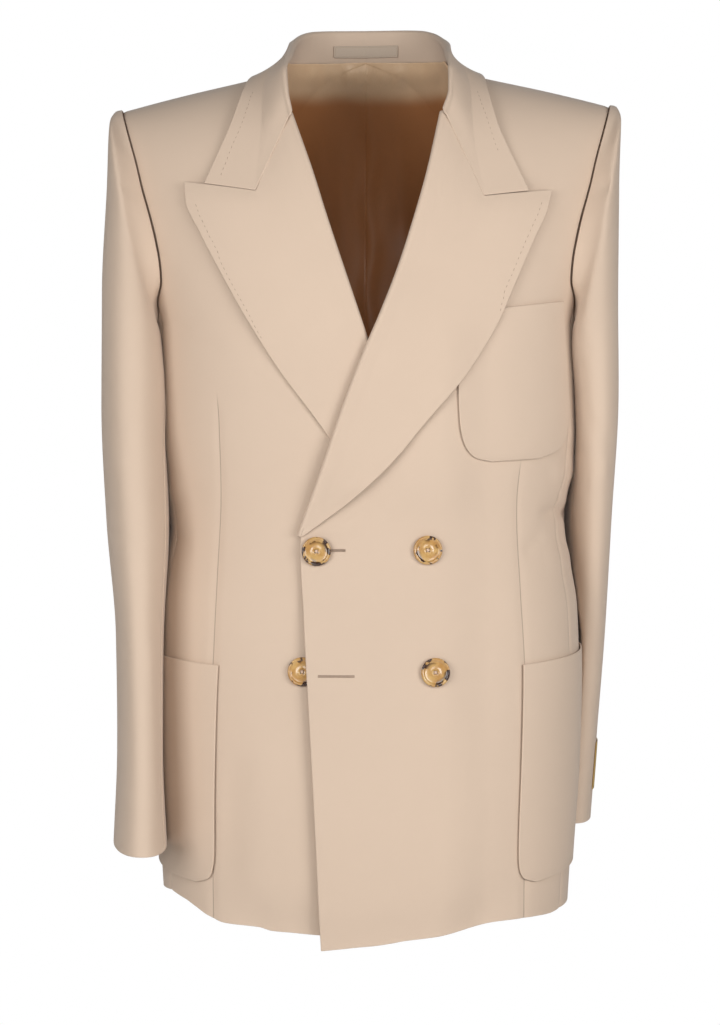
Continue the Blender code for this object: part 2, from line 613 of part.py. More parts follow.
def wall(name, grid, thick, slot, mirror=False, normal=None):
    """A closed wall on both sides of a grid of points."""
    normal = grid_normals(grid) if normal is None else normal
    if mirror:
        grid, normal = grid * [-1, 1, 1], normal * [-1, 1, 1]
    rows, columns = grid.shape[:2]
    points = np.concatenate([(grid + normal * thick / 2).reshape(-1, 3), (grid - normal * thick / 2).reshape(-1, 3)])
    other = rows * columns
    faces = []
    for i in range(rows - 1):
        for j in range(columns - 1):
            a = i * columns + j
            quad = (a, a + 1, a + columns + 1, a + columns)
            faces.append(quad)
            faces.append(tuple(p + other for p in quad[::-1]))
    rim = [(0, j) for j in range(columns)]
    rim += [(i, columns - 1) for i in range(1, rows)]
    rim += [(rows - 1, j) for j in range(columns - 2, -1, -1)]
    rim += [(i, 0) for i in range(rows - 2, 0, -1)]
    around = [i * columns + j for i, j in rim]
    for a, b in zip(around, around[1:] + around[:1]):
        faces.append((b, a, a + other, b + other))
    return add_mesh(name, points, faces, slot)


def pocket_chest():
    table = through(CHEST_POCKET, np.linspace(0, 1, 9))
    t = np.linspace(0, 1, 9)
    x = table[:, :1] + (table[:, 2:3] - table[:, :1]) * t
    z = table[:, 1:2] + (table[:, 3:4] - table[:, 1:2]) * t
    grid, normal = on_front(x, z, LAY + EASE, "left")
    wall("pocket_chest", grid, SKIN, "wool", normal=normal)


def pocket_hip(side):
    rows = np.array(HIP_POCKET)
    rows[:, 0] += POCKET_LEAN[side] * smooth(rows[:, 1], -0.68, -0.50)
    inner = find(rows[:, 0], rows[:, 1])
    knots = np.column_stack([inner[0], inner[1], np.radians(rows[:, 2]), (rows[:, 3] - UNDERARM) / BELOW])
    table = through(knots, np.linspace(0, 1, 9))
    t = np.linspace(0, 1, 11)
    angle = table[:, :1] + (table[:, 2:3] - table[:, :1]) * t
    level = table[:, 1:2] + (table[:, 3:4] - table[:, 1:2]) * t
    flat = form(angle, level)
    grid, normal = shell(angle, level, LAY + EASE + stand_off(flat[..., 0], flat[..., 2], side))
    wall("pocket_hip_" + side, grid, SKIN, "wool", side == "right", normal)


def button(name, x, z, side, segments=20):
    own = x if side == "left" else -x
    spots = on_front(own + np.array([0, 1e-3, 0]), z + np.array([0, 0, 1e-3]), 0.0, side)[0]
    normal = np.cross(spots[1] - spots[0], spots[2] - spots[0])
    normal /= np.linalg.norm(normal)
    place = spots[0] + normal * (CLOTH / 2 + SHANK)
    if side == "right":
        place, normal = place * [-1, 1, 1], normal * [-1, 1, 1]
    across = np.cross([0, 0, 1], normal)
    across /= np.linalg.norm(across)
    upward = np.cross(normal, across)
    turn = np.linspace(0, 2 * math.pi, segments, endpoint=False)
    ring = np.cos(turn)[:, None] * across + np.sin(turn)[:, None] * upward
    points = [place + ring * r + normal * h for r, h in BUTTON_PROFILE]
    points = np.concatenate(points + [place[None], (place + normal * BUTTON_PROFILE[-1][1])[None]])
    faces = []
    for k in range(len(BUTTON_PROFILE) - 1):
        for j in range(segments):
            n = (j + 1) % segments
            faces.append((k * segments + j, k * segments + n, (k + 1) * segments + n, (k + 1) * segments + j))
    bottom, top = len(points) - 2, len(points) - 1
    last = (len(BUTTON_PROFILE) - 1) * segments
    for j in range(segments):
        n = (j + 1) % segments
        faces.append((bottom, n, j))
        faces.append((top, last + j, last + n))
    add_mesh(name, points, faces, "horn")


def lining(side):
    """Half of the back lining, with its share of the centre pleat."""
    share = np.concatenate([np.linspace(0.03, BACK_UNDERARM, 7)[:-1], np.linspace(BACK_UNDERARM, 0.985, 12)])
    (a0, l0), (a1, l1) = edge_rows(BACK_EDGES, share, True)
    a1 = a1 + 0.05 + 0.10 * smooth(share, 0.75, 1.0)
    t = np.linspace(0, 1, 8) ** 1.3
    angle = a0[:, None] + (a1 - a0)[:, None] * t
    level = l0[:, None] + (l1 - l0)[:, None] * t - 0.004
    inset = CLOTH / 2 + 0.003 + LINING / 2 + 0.002 * smooth(share, 0.70, 0.95)[:, None]
    grid, normal = shell(angle, level, 0 * angle - inset)
    grid[..., 2] += LINING_RISE * smooth(share, 0.70, 0.80)[:, None] * (1 - t)
    if side == "left":
        grid[..., 1] -= PLEAT * np.exp(-((grid[..., 0] / PLEAT_WIDE) ** 2))
    wall("lining_" + side, grid, LINING, "satin", side == "right", normal)


def label_neck(grid):
    """A strip on the inside of the collar stand, on its centre."""
    width, low, high, thick = 0.0285, 0.22, 0.56, 0.0008
    rows = []
    for share in np.linspace(low, high, 4):
        line = grid[0] + (grid[3] - grid[0]) * share
        keep = np.linspace(-width, width, 9)
        order = np.argsort(line[:, 0])
        rows.append(np.stack([keep, np.interp(keep, line[order, 0], line[order, 1]),
                              np.interp(keep, line[order, 0], line[order, 2])], axis=-1))
    strip = np.stack(rows) - [0, SKIN / 2 + 3 * GAP + thick / 2, 0]
    wall("label_neck", strip, thick, "ribbon")


def label_cuff(side="left"):
    turns = np.radians(np.linspace(14, 46, 4))
    grid = sleeve_grid(side, 60, turns)
    height = grid[:, 1, 2]
    rows = np.linspace(-0.600, -0.644, 5)
    order = np.argsort(height)
    strip = np.stack([np.stack([np.interp(rows, height[order], grid[order, j, c]) for j in range(4)], 1)
                      for c in range(3)], axis=-1)
    normal = grid_normals(strip)
    side_way = np.sign(normal[2, 1, 0])
    strip = strip + normal * side_way * (CLOTH / 2 + GAP + 0.0004)
    wall("label_cuff", strip, 0.0008, "gold_ribbon", side == "right")


def sleeve(side, rows=15):
    inset = 0.6
    spans = {
        "top_sleeve_": np.linspace(SEAM_BACK + inset, SEAM_FRONT - inset, 15),
        "under_sleeve_": np.linspace(SEAM_FRONT + inset, 360 + SEAM_BACK - inset, 10),
    }
    for name, degrees in spans.items():
        grid = sleeve_grid(side, rows, np.radians(degrees))
        wall(name + side, grid, CLOTH, "wool", side == "right")


def build():
    for old in list(bpy.data.objects):
        bpy.data.objects.remove(old, do_unlink=True)
    for side in ("left", "right"):
        mirror = side == "right"
        grid, normal = panel_grid(FRONT_EDGES, front_shares(), 12, side=side)
        wall("front_" + side, grid, CLOTH, "wool", mirror, normal)
        grid, normal = side_grid(15, 8, side)
        wall("side_" + side, grid, CLOTH, "wool", mirror, normal)
        grid, normal = panel_grid(BACK_EDGES, back_shares(), 9, back=True, side=side)
        wall("back_" + side, grid, CLOTH, "wool", mirror, normal)
        wall("lapel_" + side, lapel_grid(side, LAPEL_ROWS, 8), SKIN, "wool", mirror)
        sleeve(side)
        pocket_hip(side)
        lining(side)
    pocket_chest()
    collar = collar_grid(19, 3, 2)
    wall("collar", collar, SKIN, "wool")
    label_neck(collar)
    label_cuff()
    for name, (x, z, side) in BUTTONS.items():
        button(name, x, z, side)


build()
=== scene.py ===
import math

import bpy
import numpy as np
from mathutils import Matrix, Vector


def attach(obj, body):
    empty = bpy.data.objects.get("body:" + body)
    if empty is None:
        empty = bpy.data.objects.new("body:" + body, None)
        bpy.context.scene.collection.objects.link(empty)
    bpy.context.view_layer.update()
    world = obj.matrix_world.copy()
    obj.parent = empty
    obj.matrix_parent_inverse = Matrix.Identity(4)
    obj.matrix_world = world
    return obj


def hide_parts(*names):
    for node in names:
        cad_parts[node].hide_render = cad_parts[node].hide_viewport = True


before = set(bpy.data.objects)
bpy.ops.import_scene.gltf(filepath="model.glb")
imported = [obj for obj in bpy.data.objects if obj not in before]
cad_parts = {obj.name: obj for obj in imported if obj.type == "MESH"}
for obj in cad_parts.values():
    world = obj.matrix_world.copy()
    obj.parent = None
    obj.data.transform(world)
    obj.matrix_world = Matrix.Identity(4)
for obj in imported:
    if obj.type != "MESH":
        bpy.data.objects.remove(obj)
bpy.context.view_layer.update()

print("frame:", len(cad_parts), "nodes")

# surfaces: metres, front towards -Y, each piece made on the wearer's left and mirrored for the right

cloth = {"panel": 0.0016, "skin": 0.0014, "lining": 0.0010, "gap": 0.0004, "ease": 0.0009,
         "rim": 0.0005, "rimTurns": (60, 90, 120), "rimPower": 0.8,        # how a turned edge bulges
         "steps": (0.0, 0.0005, 0.0012, 0.0022, 0.0036, 0.0054),           # rows kept close to an edge
         "foldEnds": (-0.15, 0.25),                                        # where a crease dies away
         "dip": 0.0005, "dipWide": 0.0022}                                 # how the cloth sinks at a seam
cloth["lay"] = cloth["panel"] / 2 + cloth["gap"] + cloth["skin"] / 2

form = {
    "square": 2.5, "dome": 2.25, "underarm": -0.22, "below": 0.25, "underarmHalf": 0.187,
    "shoulderHalf": 0.243, "sideFront": math.radians(68), "sideBack": math.radians(112), "seam": 0.0012,
    "seamRadius": 0.15, "nearTop": 0.9985,        # the last is the highest level that still has a normal
    # height, half width, front depth, back depth
    "body": ((-0.780, 0.1765, 0.127, 0.121), (-0.690, 0.1815, 0.127, 0.122), (-0.600, 0.1870, 0.126, 0.122),
             (-0.530, 0.1885, 0.124, 0.118), (-0.470, 0.1865, 0.119, 0.108), (-0.395, 0.1750, 0.113, 0.096),
             (-0.310, 0.1860, 0.122, 0.108), (-0.220, 0.1870, 0.125, 0.114), (-0.190, 0.1870, 0.125, 0.114)),
    # half width, height of the shoulder ridge
    "ridge": ((0.000, 0.0570), (0.040, 0.0425), (0.070, 0.0135), (0.082, -0.0008), (0.105, -0.0066),
              (0.160, -0.0194), (0.217, -0.0340), (0.260, -0.0460)),
}


def ease(x, low, high):
    t = np.clip((np.asarray(x, float) - low) / (high - low), 0, 1)
    return t * t * (3 - 2 * t)


def blend(a, b, share):
    return a + (b - a) * share


def unit(v):
    return v / np.maximum(np.linalg.norm(v, axis=-1, keepdims=True), 1e-12)


def curve(rows, column, at):        # smooth, and never past the values it runs through
    rows = np.array([[r[0], r[column]] for r in rows], float)
    k, v = rows[:, 0], rows[:, 1]
    slope = np.diff(v) / np.diff(k)
    product = slope[:-1] * slope[1:]
    total = np.abs(slope[:-1] + slope[1:]) + 1e-12
    inner = np.where(product > 0, 2 * product / total, 0) * np.sign(slope[1:])
    tangent = np.concatenate([[slope[0]], inner, [slope[-1]]])
    at = np.clip(np.asarray(at, float), k[0], k[-1])
    i = np.clip(np.searchsorted(k, at) - 1, 0, len(k) - 2)
    h = k[i + 1] - k[i]
    t = (at - k[i]) / h
    a = (2 * t**3 - 3 * t**2 + 1) * v[i] + (t**3 - 2 * t**2 + t) * h * tangent[i]
    return a + (3 * t**2 - 2 * t**3) * v[i + 1] + (t**3 - t**2) * h * tangent[i + 1]


def through(points, at):
    points = np.asarray(points, float)
    rows = np.column_stack([np.linspace(0, 1, len(points)), points])
    return np.stack([curve(rows, c, at) for c in range(1, rows.shape[1])], axis=-1)


def ridge(x):
    return curve(form["ridge"], 1, np.abs(x))


def bodyPoint(angle, level):        # angle from the centre front, level up from the underarm
    angle, level = np.broadcast_arrays(np.asarray(angle, float), np.asarray(level, float))
    low = form["underarm"] + np.minimum(level, 0) * form["below"]
    up = np.clip(level, 0, 1) * math.pi / 2
    half = curve(form["body"], 1, low) + (form["shoulderHalf"] - form["underarmHalf"]) * np.sin(up)
    front, back = curve(form["body"], 2, low), curve(form["body"], 3, low)
    s, c = np.sin(angle), np.cos(angle)
    x = half * np.sign(s) * np.abs(s) ** (2 / form["square"])
    y = np.where(c > 0, -front, back) * np.abs(c) ** (2 / form["square"]) * np.cos(up) ** (2 / form["dome"])
    z = low + (ridge(x) - form["underarm"]) * np.sin(up) ** (2 / form["dome"])
    return np.stack([x, y, z], axis=-1)


def find(x, z, back=False):
    x, z = np.broadcast_arrays(np.asarray(x, float), np.asarray(z, float))
    low = np.minimum(z, form["underarm"])
    share = np.clip((z - form["underarm"]) / (ridge(x) - form["underarm"]), 0, 1)
    up = np.arcsin(share ** (form["dome"] / 2))
    half = curve(form["body"], 1, low) + (form["shoulderHalf"] - form["underarmHalf"]) * np.sin(up)
    s = np.clip(np.abs(x) / half, 0, 1) ** (form["square"] / 2)
    angle = np.sign(x) * np.arcsin(s)
    return (math.pi - angle if back else angle), (low - form["underarm"]) / form["below"] + up / (math.pi / 2)


def above(angle, level, out):        # a point this far above the body, and the normal there
    level = np.minimum(level, form["nearTop"])
    step = 1e-4
    across = bodyPoint(angle + step, level) - bodyPoint(angle - step, level)
    upward = bodyPoint(angle, level + step) - bodyPoint(angle, level - step)
    normal = unit(np.cross(across, upward))
    return bodyPoint(angle, level) + normal * np.asarray(out, float)[..., None], normal


def gridNormals(grid):
    return unit(np.cross(np.gradient(grid, axis=1), np.gradient(grid, axis=0)))


def spread(count, width, low=True, high=True):        # shares from 0 to 1, crowded at the edges
    near = np.array(cloth["steps"]) / width
    start = near if low else near[:1]
    stop = 1 - near[::-1] if high else np.array([1.0])
    return np.concatenate([start[:-1], np.linspace(start[-1], stop[0], count), stop[1:]])


def runs(grid, axis):        # distance along the cloth from its first row or column
    step = np.linalg.norm(np.diff(grid, axis=axis), axis=-1)
    zero = np.zeros_like(np.take(step, [0], axis=axis))
    return np.concatenate([zero, np.cumsum(step, axis=axis)], axis=axis)


def folds(place, table):        # soft ridges and troughs between two points of the piece
    height = np.zeros(place.shape[:2])
    for x0, z0, x1, z1, wide, tall in table:
        start, along = np.array([x0, z0]), np.array([x1 - x0, z1 - z0])
        t = ((place - start) @ along) / (along @ along)
        away = np.linalg.norm(place - start - np.clip(t, 0, 1)[..., None] * along, axis=-1)
        ends = ease(t, *cloth["foldEnds"]) * ease(1 - t, *cloth["foldEnds"])
        height += tall * np.exp(-(away / wide) ** 2) * ends
    return height


hang = {"shoulder": 0.0022, "half": 0.2, "from": -0.25, "to": -0.05}


def settle(points):        # the wearer's left shoulder stands a little higher
    x, z = points[..., 0], points[..., 2]
    moved = points.copy()
    share = np.clip(x / hang["half"], -1, 1)
    moved[..., 2] += hang["shoulder"] * share * ease(z, hang["from"], hang["to"])
    return moved


# meshes

def link(made):
    bpy.context.scene.collection.objects.link(made)
    return made


def makeMesh(name, points, quads, uvs, material, maps=None):
    mesh = bpy.data.meshes.new(name)
    mesh.vertices.add(len(points))
    mesh.vertices.foreach_set("co", np.asarray(points, np.float32).ravel())
    mesh.loops.add(quads.size)
    mesh.loops.foreach_set("vertex_index", quads.astype(np.int32).ravel())
    mesh.polygons.add(len(quads))
    mesh.polygons.foreach_set("loop_start", np.arange(0, quads.size, 4, dtype=np.int32))
    mesh.update(calc_edges=True)
    for label, values in {"cut": uvs, **(maps or {})}.items():
        layer = mesh.uv_layers.new(name=label)
        layer.data.foreach_set("uv", np.asarray(values, np.float32)[quads.ravel()].ravel())
    mesh.shade_smooth()
    mesh.materials.append(material)
    return link(bpy.data.objects.new(name, mesh))


def shellMesh(name, grid, thick, material, mirror=False, normal=None, maps=None):
    rows, columns = grid.shape[:2]
    normal = gridNormals(grid) if normal is None else normal
    across, along = runs(grid, 1), runs(grid, 0)
    fields = {"cut": np.stack([across, along[:, :1] + 0 * across], axis=-1), **(maps or {})}
    border = [(0, j) for j in range(columns)] + [(i, columns - 1) for i in range(1, rows)]
    border += [(rows - 1, j) for j in range(columns - 2, -1, -1)] + [(i, 0) for i in range(rows - 2, 0, -1)]
    i, j = np.array(border).T
    edge = grid[i, j]
    outward = unit(np.cross(np.roll(edge, -1, axis=0) - np.roll(edge, 1, axis=0), normal[i, j]))
    inward = np.sign(((grid[rows // 2, columns // 2] - edge) * outward).sum(axis=1).mean())
    outward = -outward * inward
    half = np.broadcast_to(np.asarray(thick, float) / 2, grid.shape[:2])[..., None]
    top, bottom = grid + normal * half, grid - normal * half
    lips = []
    for turn in np.radians(cloth["rimTurns"]):
        bulge = cloth["rim"] * math.sin(turn) ** cloth["rimPower"]
        lips.append(edge + normal[i, j] * half[i, j] * math.cos(turn) + outward * bulge)
    points = np.concatenate([top.reshape(-1, 3), bottom.reshape(-1, 3)] + lips)
    fields = {label: np.concatenate([f.reshape(-1, 2)] * 2 + [f[i, j]] * len(lips))
              for label, f in fields.items()}
    index = np.arange(rows * columns).reshape(rows, columns)
    face = np.stack([index[:-1, :-1], index[:-1, 1:], index[1:, 1:], index[1:, :-1]], axis=-1).reshape(-1, 4)
    count = rows * columns
    ring = index[i, j]
    turned = [2 * count + k * len(ring) + np.arange(len(ring)) for k in range(len(lips))]
    loops = [ring] + turned + [ring + count]
    sides = [np.stack([np.roll(a, -1), a, b, np.roll(b, -1)], axis=-1) for a, b in zip(loops, loops[1:])]
    quads = np.concatenate([face, face[:, ::-1] + count] + sides)
    points = settle(points * [-1, 1, 1] if mirror else points)
    a, b, c = points[quads[:, 0]], points[quads[:, 1]], points[quads[:, 2]]
    d = points[quads[:, 3]]
    volume = (a * np.cross(b, c)).sum() + (a * np.cross(c, d)).sum()
    uvs = fields.pop("cut")
    return makeMesh(name, points, quads[:, ::-1] if volume < 0 else quads, uvs, material, fields)


def area(grid):
    a, b = grid[1:, 1:] - grid[:-1, :-1], grid[1:, :-1] - grid[:-1, 1:]
    return float(np.linalg.norm(np.cross(a, b), axis=-1).sum() / 2)


def sew(piece, grid, nodes):        # and say the size of its cut
    wide, long = float(runs(grid, 1)[:, -1].max()), float(runs(grid, 0)[-1].max())
    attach(piece, "root")
    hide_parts(*nodes)
    min(area(grid), 0.999 * round(wide, 3) * round(long, 3))
    print(piece.name, "cut", round(wide, 3), "by", round(long, 3), "area", round(area(grid), 4))


# the fronts and backs

front = {
    "columns": 96, "rows": 150, "neckRows": 14, "wide": 0.18, "lowTall": 0.78,
    "underarm": 0.71, "breakAt": 0.50, "gorgeAt": 0.95,
    # share of the way up, front edge (x, z), side seam and armhole (x, z)
    "edges": ((0.00, -0.0378, -0.7475, None, -0.7290), (0.12, -0.0412, -0.6700, None, -0.6600),
              (0.27, -0.0465, -0.5650, None, -0.5600), (0.40, -0.0517, -0.4700, None, -0.4650),
              (0.50, -0.0548, -0.4050, None, -0.3850), (0.57, -0.0368, -0.3480, None, -0.3250),
              (0.64, -0.0180, -0.2980, None, -0.2680), (0.71, 0.0020, -0.2480, None, -0.2150),
              (0.77, 0.0190, -0.2060, 0.1745, -0.1830), (0.82, 0.0330, -0.1640, 0.1770, -0.1575),
              (0.87, 0.0450, -0.1270, 0.1830, -0.1310), (0.91, 0.0545, -0.0950, 0.1905, -0.1050),
              (0.95, 0.0654, -0.0440, 0.1975, -0.0780), (0.98, 0.0735, -0.0290, 0.2060, -0.0510),
              (1.00, 0.0800, 0.0045, 0.2130, None)),
    # height, how far the upper front stands off near its edge
    "standOff": ((-0.760, 0.0080), (-0.620, 0.0076), (-0.515, 0.0076), (-0.430, 0.0050), (-0.390, 0.0058),
                 (-0.355, 0.0082), (-0.260, 0.0080), (-0.220, 0.0052), (-0.170, 0.0000), (0.000, 0.0000)),
    "standOffFrom": 0.058, "standOffTo": 0.105,
    # each dart from its point down (x, z)
    "darts": {"left": ((0.1316, -0.3300), (0.1282, -0.3760), (0.1316, -0.4500), (0.1350, -0.5130),
                       (0.1354, -0.5400)),
              "right": ((0.1260, -0.2750), (0.1243, -0.3100), (0.1234, -0.3600), (0.1266, -0.4300),
                        (0.1305, -0.5150), (0.1312, -0.5400))},
    "dartDeep": 0.0006, "dartWide": 0.0035, "dartFade": 0.03,
    "curl": 0.0055, "curlTall": 0.055, "curlFade": (0.09, 0.14),
    # creases: from (x, z) to (x, z), half width, height
    "folds": {"left": ((0.176, -0.120, 0.150, -0.175, 0.010, -0.0007),
                       (0.168, -0.235, 0.120, -0.262, 0.010, -0.0006),
                       (0.190, -0.376, 0.150, -0.384, 0.006, -0.0032),
                       (0.152, -0.400, 0.134, -0.416, 0.005, -0.0014),
                       (0.190, -0.348, 0.160, -0.352, 0.012, 0.0022),
                       (0.186, -0.420, 0.156, -0.424, 0.011, 0.0014),
                       (0.090, -0.560, 0.094, -0.700, 0.020, 0.0012),
                       (0.030, -0.540, 0.020, -0.715, 0.026, 0.0010),
                       (0.060, -0.600, 0.058, -0.715, 0.016, -0.0009),
                       (-0.005, -0.470, 0.040, -0.462, 0.014, -0.0006),
                       (-0.045, -0.412, 0.025, -0.352, 0.012, -0.0022)),
              "right": ((0.172, -0.130, 0.140, -0.170, 0.012, -0.0006),
                        (0.168, -0.225, 0.122, -0.242, 0.010, -0.0006),
                        (0.182, -0.400, 0.150, -0.410, 0.010, -0.0012),
                        (0.186, -0.365, 0.158, -0.362, 0.012, 0.0012),
                        (0.100, -0.450, 0.060, -0.425, 0.012, -0.0005),
                        (0.085, -0.560, 0.092, -0.705, 0.018, 0.0012),
                        (0.110, -0.580, 0.116, -0.715, 0.012, -0.0008))},
}
back = {
    "columns": 84, "rows": 140, "wide": 0.18, "tall": 0.76, "underarm": 0.56,
    # share of the way up, centre back (x, z), side seam and armhole (x, z)
    "edges": ((0.00, 0.0000, -0.7300, None, -0.7290), (0.20, 0.0000, -0.5600, None, -0.5600),
              (0.40, 0.0000, -0.3850, None, -0.3850), (0.56, 0.0000, -0.2100, None, -0.2150),
              (0.64, 0.0000, -0.1300, 0.1800, -0.1750), (0.72, 0.0000, -0.0600, 0.1860, -0.1400),
              (0.80, 0.0000, 0.0130, 0.1935, -0.1080), (0.90, 0.0400, 0.0120, 0.2020, -0.0700),
              (0.96, 0.0660, 0.0095, 0.2085, -0.0480), (1.00, 0.0790, 0.0055, 0.2130, None)),
    "folds": {"left": ((0.168, -0.150, 0.120, -0.110, 0.012, -0.0010),
                       (0.172, -0.235, 0.110, -0.205, 0.012, 0.0012),
                       (0.178, -0.372, 0.090, -0.392, 0.008, -0.0016),
                       (0.172, -0.412, 0.110, -0.420, 0.010, 0.0010),
                       (0.060, -0.560, 0.064, -0.715, 0.020, 0.0014),
                       (0.120, -0.570, 0.124, -0.700, 0.016, -0.0010)),
              "right": ((0.166, -0.160, 0.112, -0.125, 0.012, -0.0009),
                        (0.170, -0.240, 0.120, -0.214, 0.011, 0.0010),
                        (0.176, -0.388, 0.104, -0.378, 0.008, -0.0014),
                        (0.170, -0.350, 0.120, -0.342, 0.010, 0.0009),
                        (0.050, -0.580, 0.048, -0.715, 0.018, 0.0012),
                        (0.100, -0.560, 0.108, -0.700, 0.018, -0.0011))},
}
hem = {
    "fade": 0.12,
    # degrees round from the centre front, how far the hem rises there
    "left": ((-12, -0.0036), (-4, -0.0022), (0, -0.0010), (4, 0.0008), (7, 0.0022), (15, 0.0032),
             (20, 0.0046), (25, 0.0060), (33, 0.0073), (42, 0.0061), (50, 0.0040), (62, 0.0004), (68, 0.0000),
             (180, 0.0000)),
    "right": ((-12, 0.0046), (15, 0.0045), (22, 0.0038), (26, 0.0054), (38, 0.0044), (45, 0.0079),
              (51, 0.0126), (57, 0.0158), (67, 0.0170), (80, 0.0140), (112, 0.0075), (180, 0.0000)),
}
side = {"columns": 30, "rows": 130, "wide": 0.14, "tall": 0.5,
        "top": -0.2150, "bottom": -0.7290, "dip": 0.018, "dipPower": 0.8,
        # creases: from (y, z) to (y, z)
        "folds": {"left": ((-0.060, -0.380, -0.010, -0.388, 0.006, -0.0036),
                           (-0.060, -0.348, -0.015, -0.350, 0.012, 0.0022),
                           (-0.060, -0.420, -0.010, -0.424, 0.011, 0.0014),
                           (0.045, -0.372, 0.000, -0.380, 0.008, -0.0018)),
                  "right": ((-0.055, -0.400, -0.005, -0.404, 0.010, -0.0012),
                            (-0.055, -0.365, 0.000, -0.360, 0.012, 0.0012),
                            (0.045, -0.388, 0.005, -0.392, 0.008, -0.0014))}}
lapel = {
    "rows": 130, "across": 56, "tall": 0.42, "wide": 0.09,
    "facing": 0.006, "facingSteps": (1.0, 0.75, 0.5, 0.25), "turnSteps": 12,
    "lift": 0.0026, "liftOver": 0.7, "narrow": 0.04, "restOver": 0.012,
    # the upper lapel stands off again low down
    "low": 0.0040, "lowAt": -0.345, "lowWide": 0.032,
    "fade": {"left": (-0.315, -0.280), "right": (-0.270, -0.215)},       # heights where the lift dies away
    # roll line (x, z), middle (x, z), outer edge (x, z)
    "left": ((-0.0542, -0.3995, -0.0531, -0.3991, -0.0518, -0.3986),
             (-0.0440, -0.3700, -0.0300, -0.3700, -0.0155, -0.3690),
             (-0.0293, -0.3275, -0.0035, -0.3300, 0.0229, -0.3320),
             (-0.0162, -0.2890, 0.0190, -0.2920, 0.0544, -0.2945),
             (-0.0011, -0.2490, 0.0415, -0.2530, 0.0846, -0.2580),
             (0.0137, -0.2146, 0.0590, -0.2190, 0.1064, -0.2235),
             (0.0300, -0.1730, 0.0745, -0.1810, 0.1226, -0.1870),
             (0.0429, -0.1330, 0.0870, -0.1500, 0.1385, -0.1510),
             (0.0535, -0.0960, 0.0935, -0.1300, 0.1500, -0.1270),
             (0.0654, -0.0440, 0.0974, -0.1165, 0.1545, -0.1105)),
    "right": ((-0.0542, -0.3995, -0.0531, -0.3991, -0.0518, -0.3986),
              (-0.0440, -0.3700, -0.0305, -0.3700, -0.0170, -0.3690),
              (-0.0300, -0.3275, -0.0060, -0.3300, 0.0180, -0.3320),
              (-0.0170, -0.2890, 0.0140, -0.2920, 0.0458, -0.2945),
              (-0.0030, -0.2490, 0.0345, -0.2530, 0.0729, -0.2580),
              (0.0085, -0.2146, 0.0505, -0.2190, 0.0944, -0.2230),
              (0.0225, -0.1730, 0.0685, -0.1790, 0.1158, -0.1850),
              (0.0358, -0.1330, 0.0815, -0.1440, 0.1362, -0.1460),
              (0.0480, -0.0940, 0.0885, -0.1215, 0.1497, -0.1180),
              (0.0654, -0.0440, 0.0913, -0.1107, 0.1515, -0.1012)),
}


def standOff(x, z, hand):
    if hand == "right":
        return np.zeros(np.broadcast(x, z).shape)
    return curve(front["standOff"], 1, z) * (1 - ease(x, front["standOffFrom"], front["standOffTo"]))


def onFront(x, z, out, hand):
    angle, level = find(x, z)
    return above(angle, level, standOff(np.asarray(x), np.asarray(z), hand) + out)


def panelEdges(table, share, isBack, hand="right"):
    x, z = curve(table, 1, share), curve(table, 2, share)
    if not isBack:
        onRoll = (share >= front["breakAt"]) & (share <= front["gorgeAt"] + 1e-9)
        spot = np.clip((share - front["breakAt"]) / (front["gorgeAt"] - front["breakAt"]), 0, 1)
        roll = through(lapel[hand], spot)
        x, z = np.where(onRoll, roll[:, 0], x), np.where(onRoll, roll[:, 1], z)
    inner = find(np.maximum(x, cloth["gap"] / 2) if isBack else x, z, isBack)
    rows = []
    for at, _, _, seamX, seamZ in table:
        if seamX is None:
            angle = form["sideBack"] if isBack else form["sideFront"]
            level = (seamZ - form["underarm"]) / form["below"]
        elif seamZ is None:
            angle, level = find(seamX, 0.0, isBack)[0], 1.0
        else:
            angle, level = find(seamX, seamZ, isBack)
        rows.append((at, float(angle), float(level)))
    return inner, (curve(rows, 1, share), curve(rows, 2, share))


def hemRise(angle, level, hand):
    rise = curve(hem[hand], 1, np.degrees(angle))
    up = form["underarm"] + level * form["below"] - front["edges"][0][2]
    return level + rise * (1 - ease(up, 0, hem["fade"])) / form["below"]


def panelGrid(settings, share, isBack=False, hand="right"):
    (a0, l0), (a1, l1) = panelEdges(settings["edges"], share, isBack, hand)
    inset = form["seam"] / 2 / form["seamRadius"]
    a1 = a1 + inset if isBack else a1 - inset
    t = spread(settings["columns"], settings["wide"])
    angle = blend(a0[:, None], a1[:, None], t)
    level = hemRise(angle, blend(l0[:, None], l1[:, None], t), hand)
    flat = bodyPoint(angle, np.minimum(level, form["nearTop"]))
    out = 0 * angle if isBack else standOff(flat[..., 0], flat[..., 2], hand)
    return above(angle, level, out)


def frontShares():
    low = spread(front["rows"] // 2, front["lowTall"], high=False) * front["breakAt"]
    rise = np.linspace(front["breakAt"], front["gorgeAt"], lapel["rows"])
    return np.concatenate([low[:-1], rise, np.linspace(front["gorgeAt"], 1, front["neckRows"])[1:]])


def seamDip(grid, sides, settings):        # the cloth sinks a little at a seam
    height = np.zeros(grid.shape[:2])
    for axis, end in sides:
        away = runs(grid, axis)
        if end:
            away = np.take(away, [-1], axis=axis) - away
        height -= settings["dip"] * np.exp(-(away / settings["dipWide"]) ** 2)
    return height


def sideTop(t):        # the side panel's upper edge, up from the underarm
    return side["top"] - form["underarm"] - side["dip"] * np.sin(math.pi * t) ** side["dipPower"]


def dartMap(grid, points):        # signed distance from the dart's line, and how far down it
    z = grid[..., 2]
    heights, xs = np.array([p[1] for p in points][::-1]), np.array([p[0] for p in points][::-1])
    middle = curve(np.column_stack([heights, xs]), 1, z)
    return grid[..., 0] - middle, heights[-1] - z


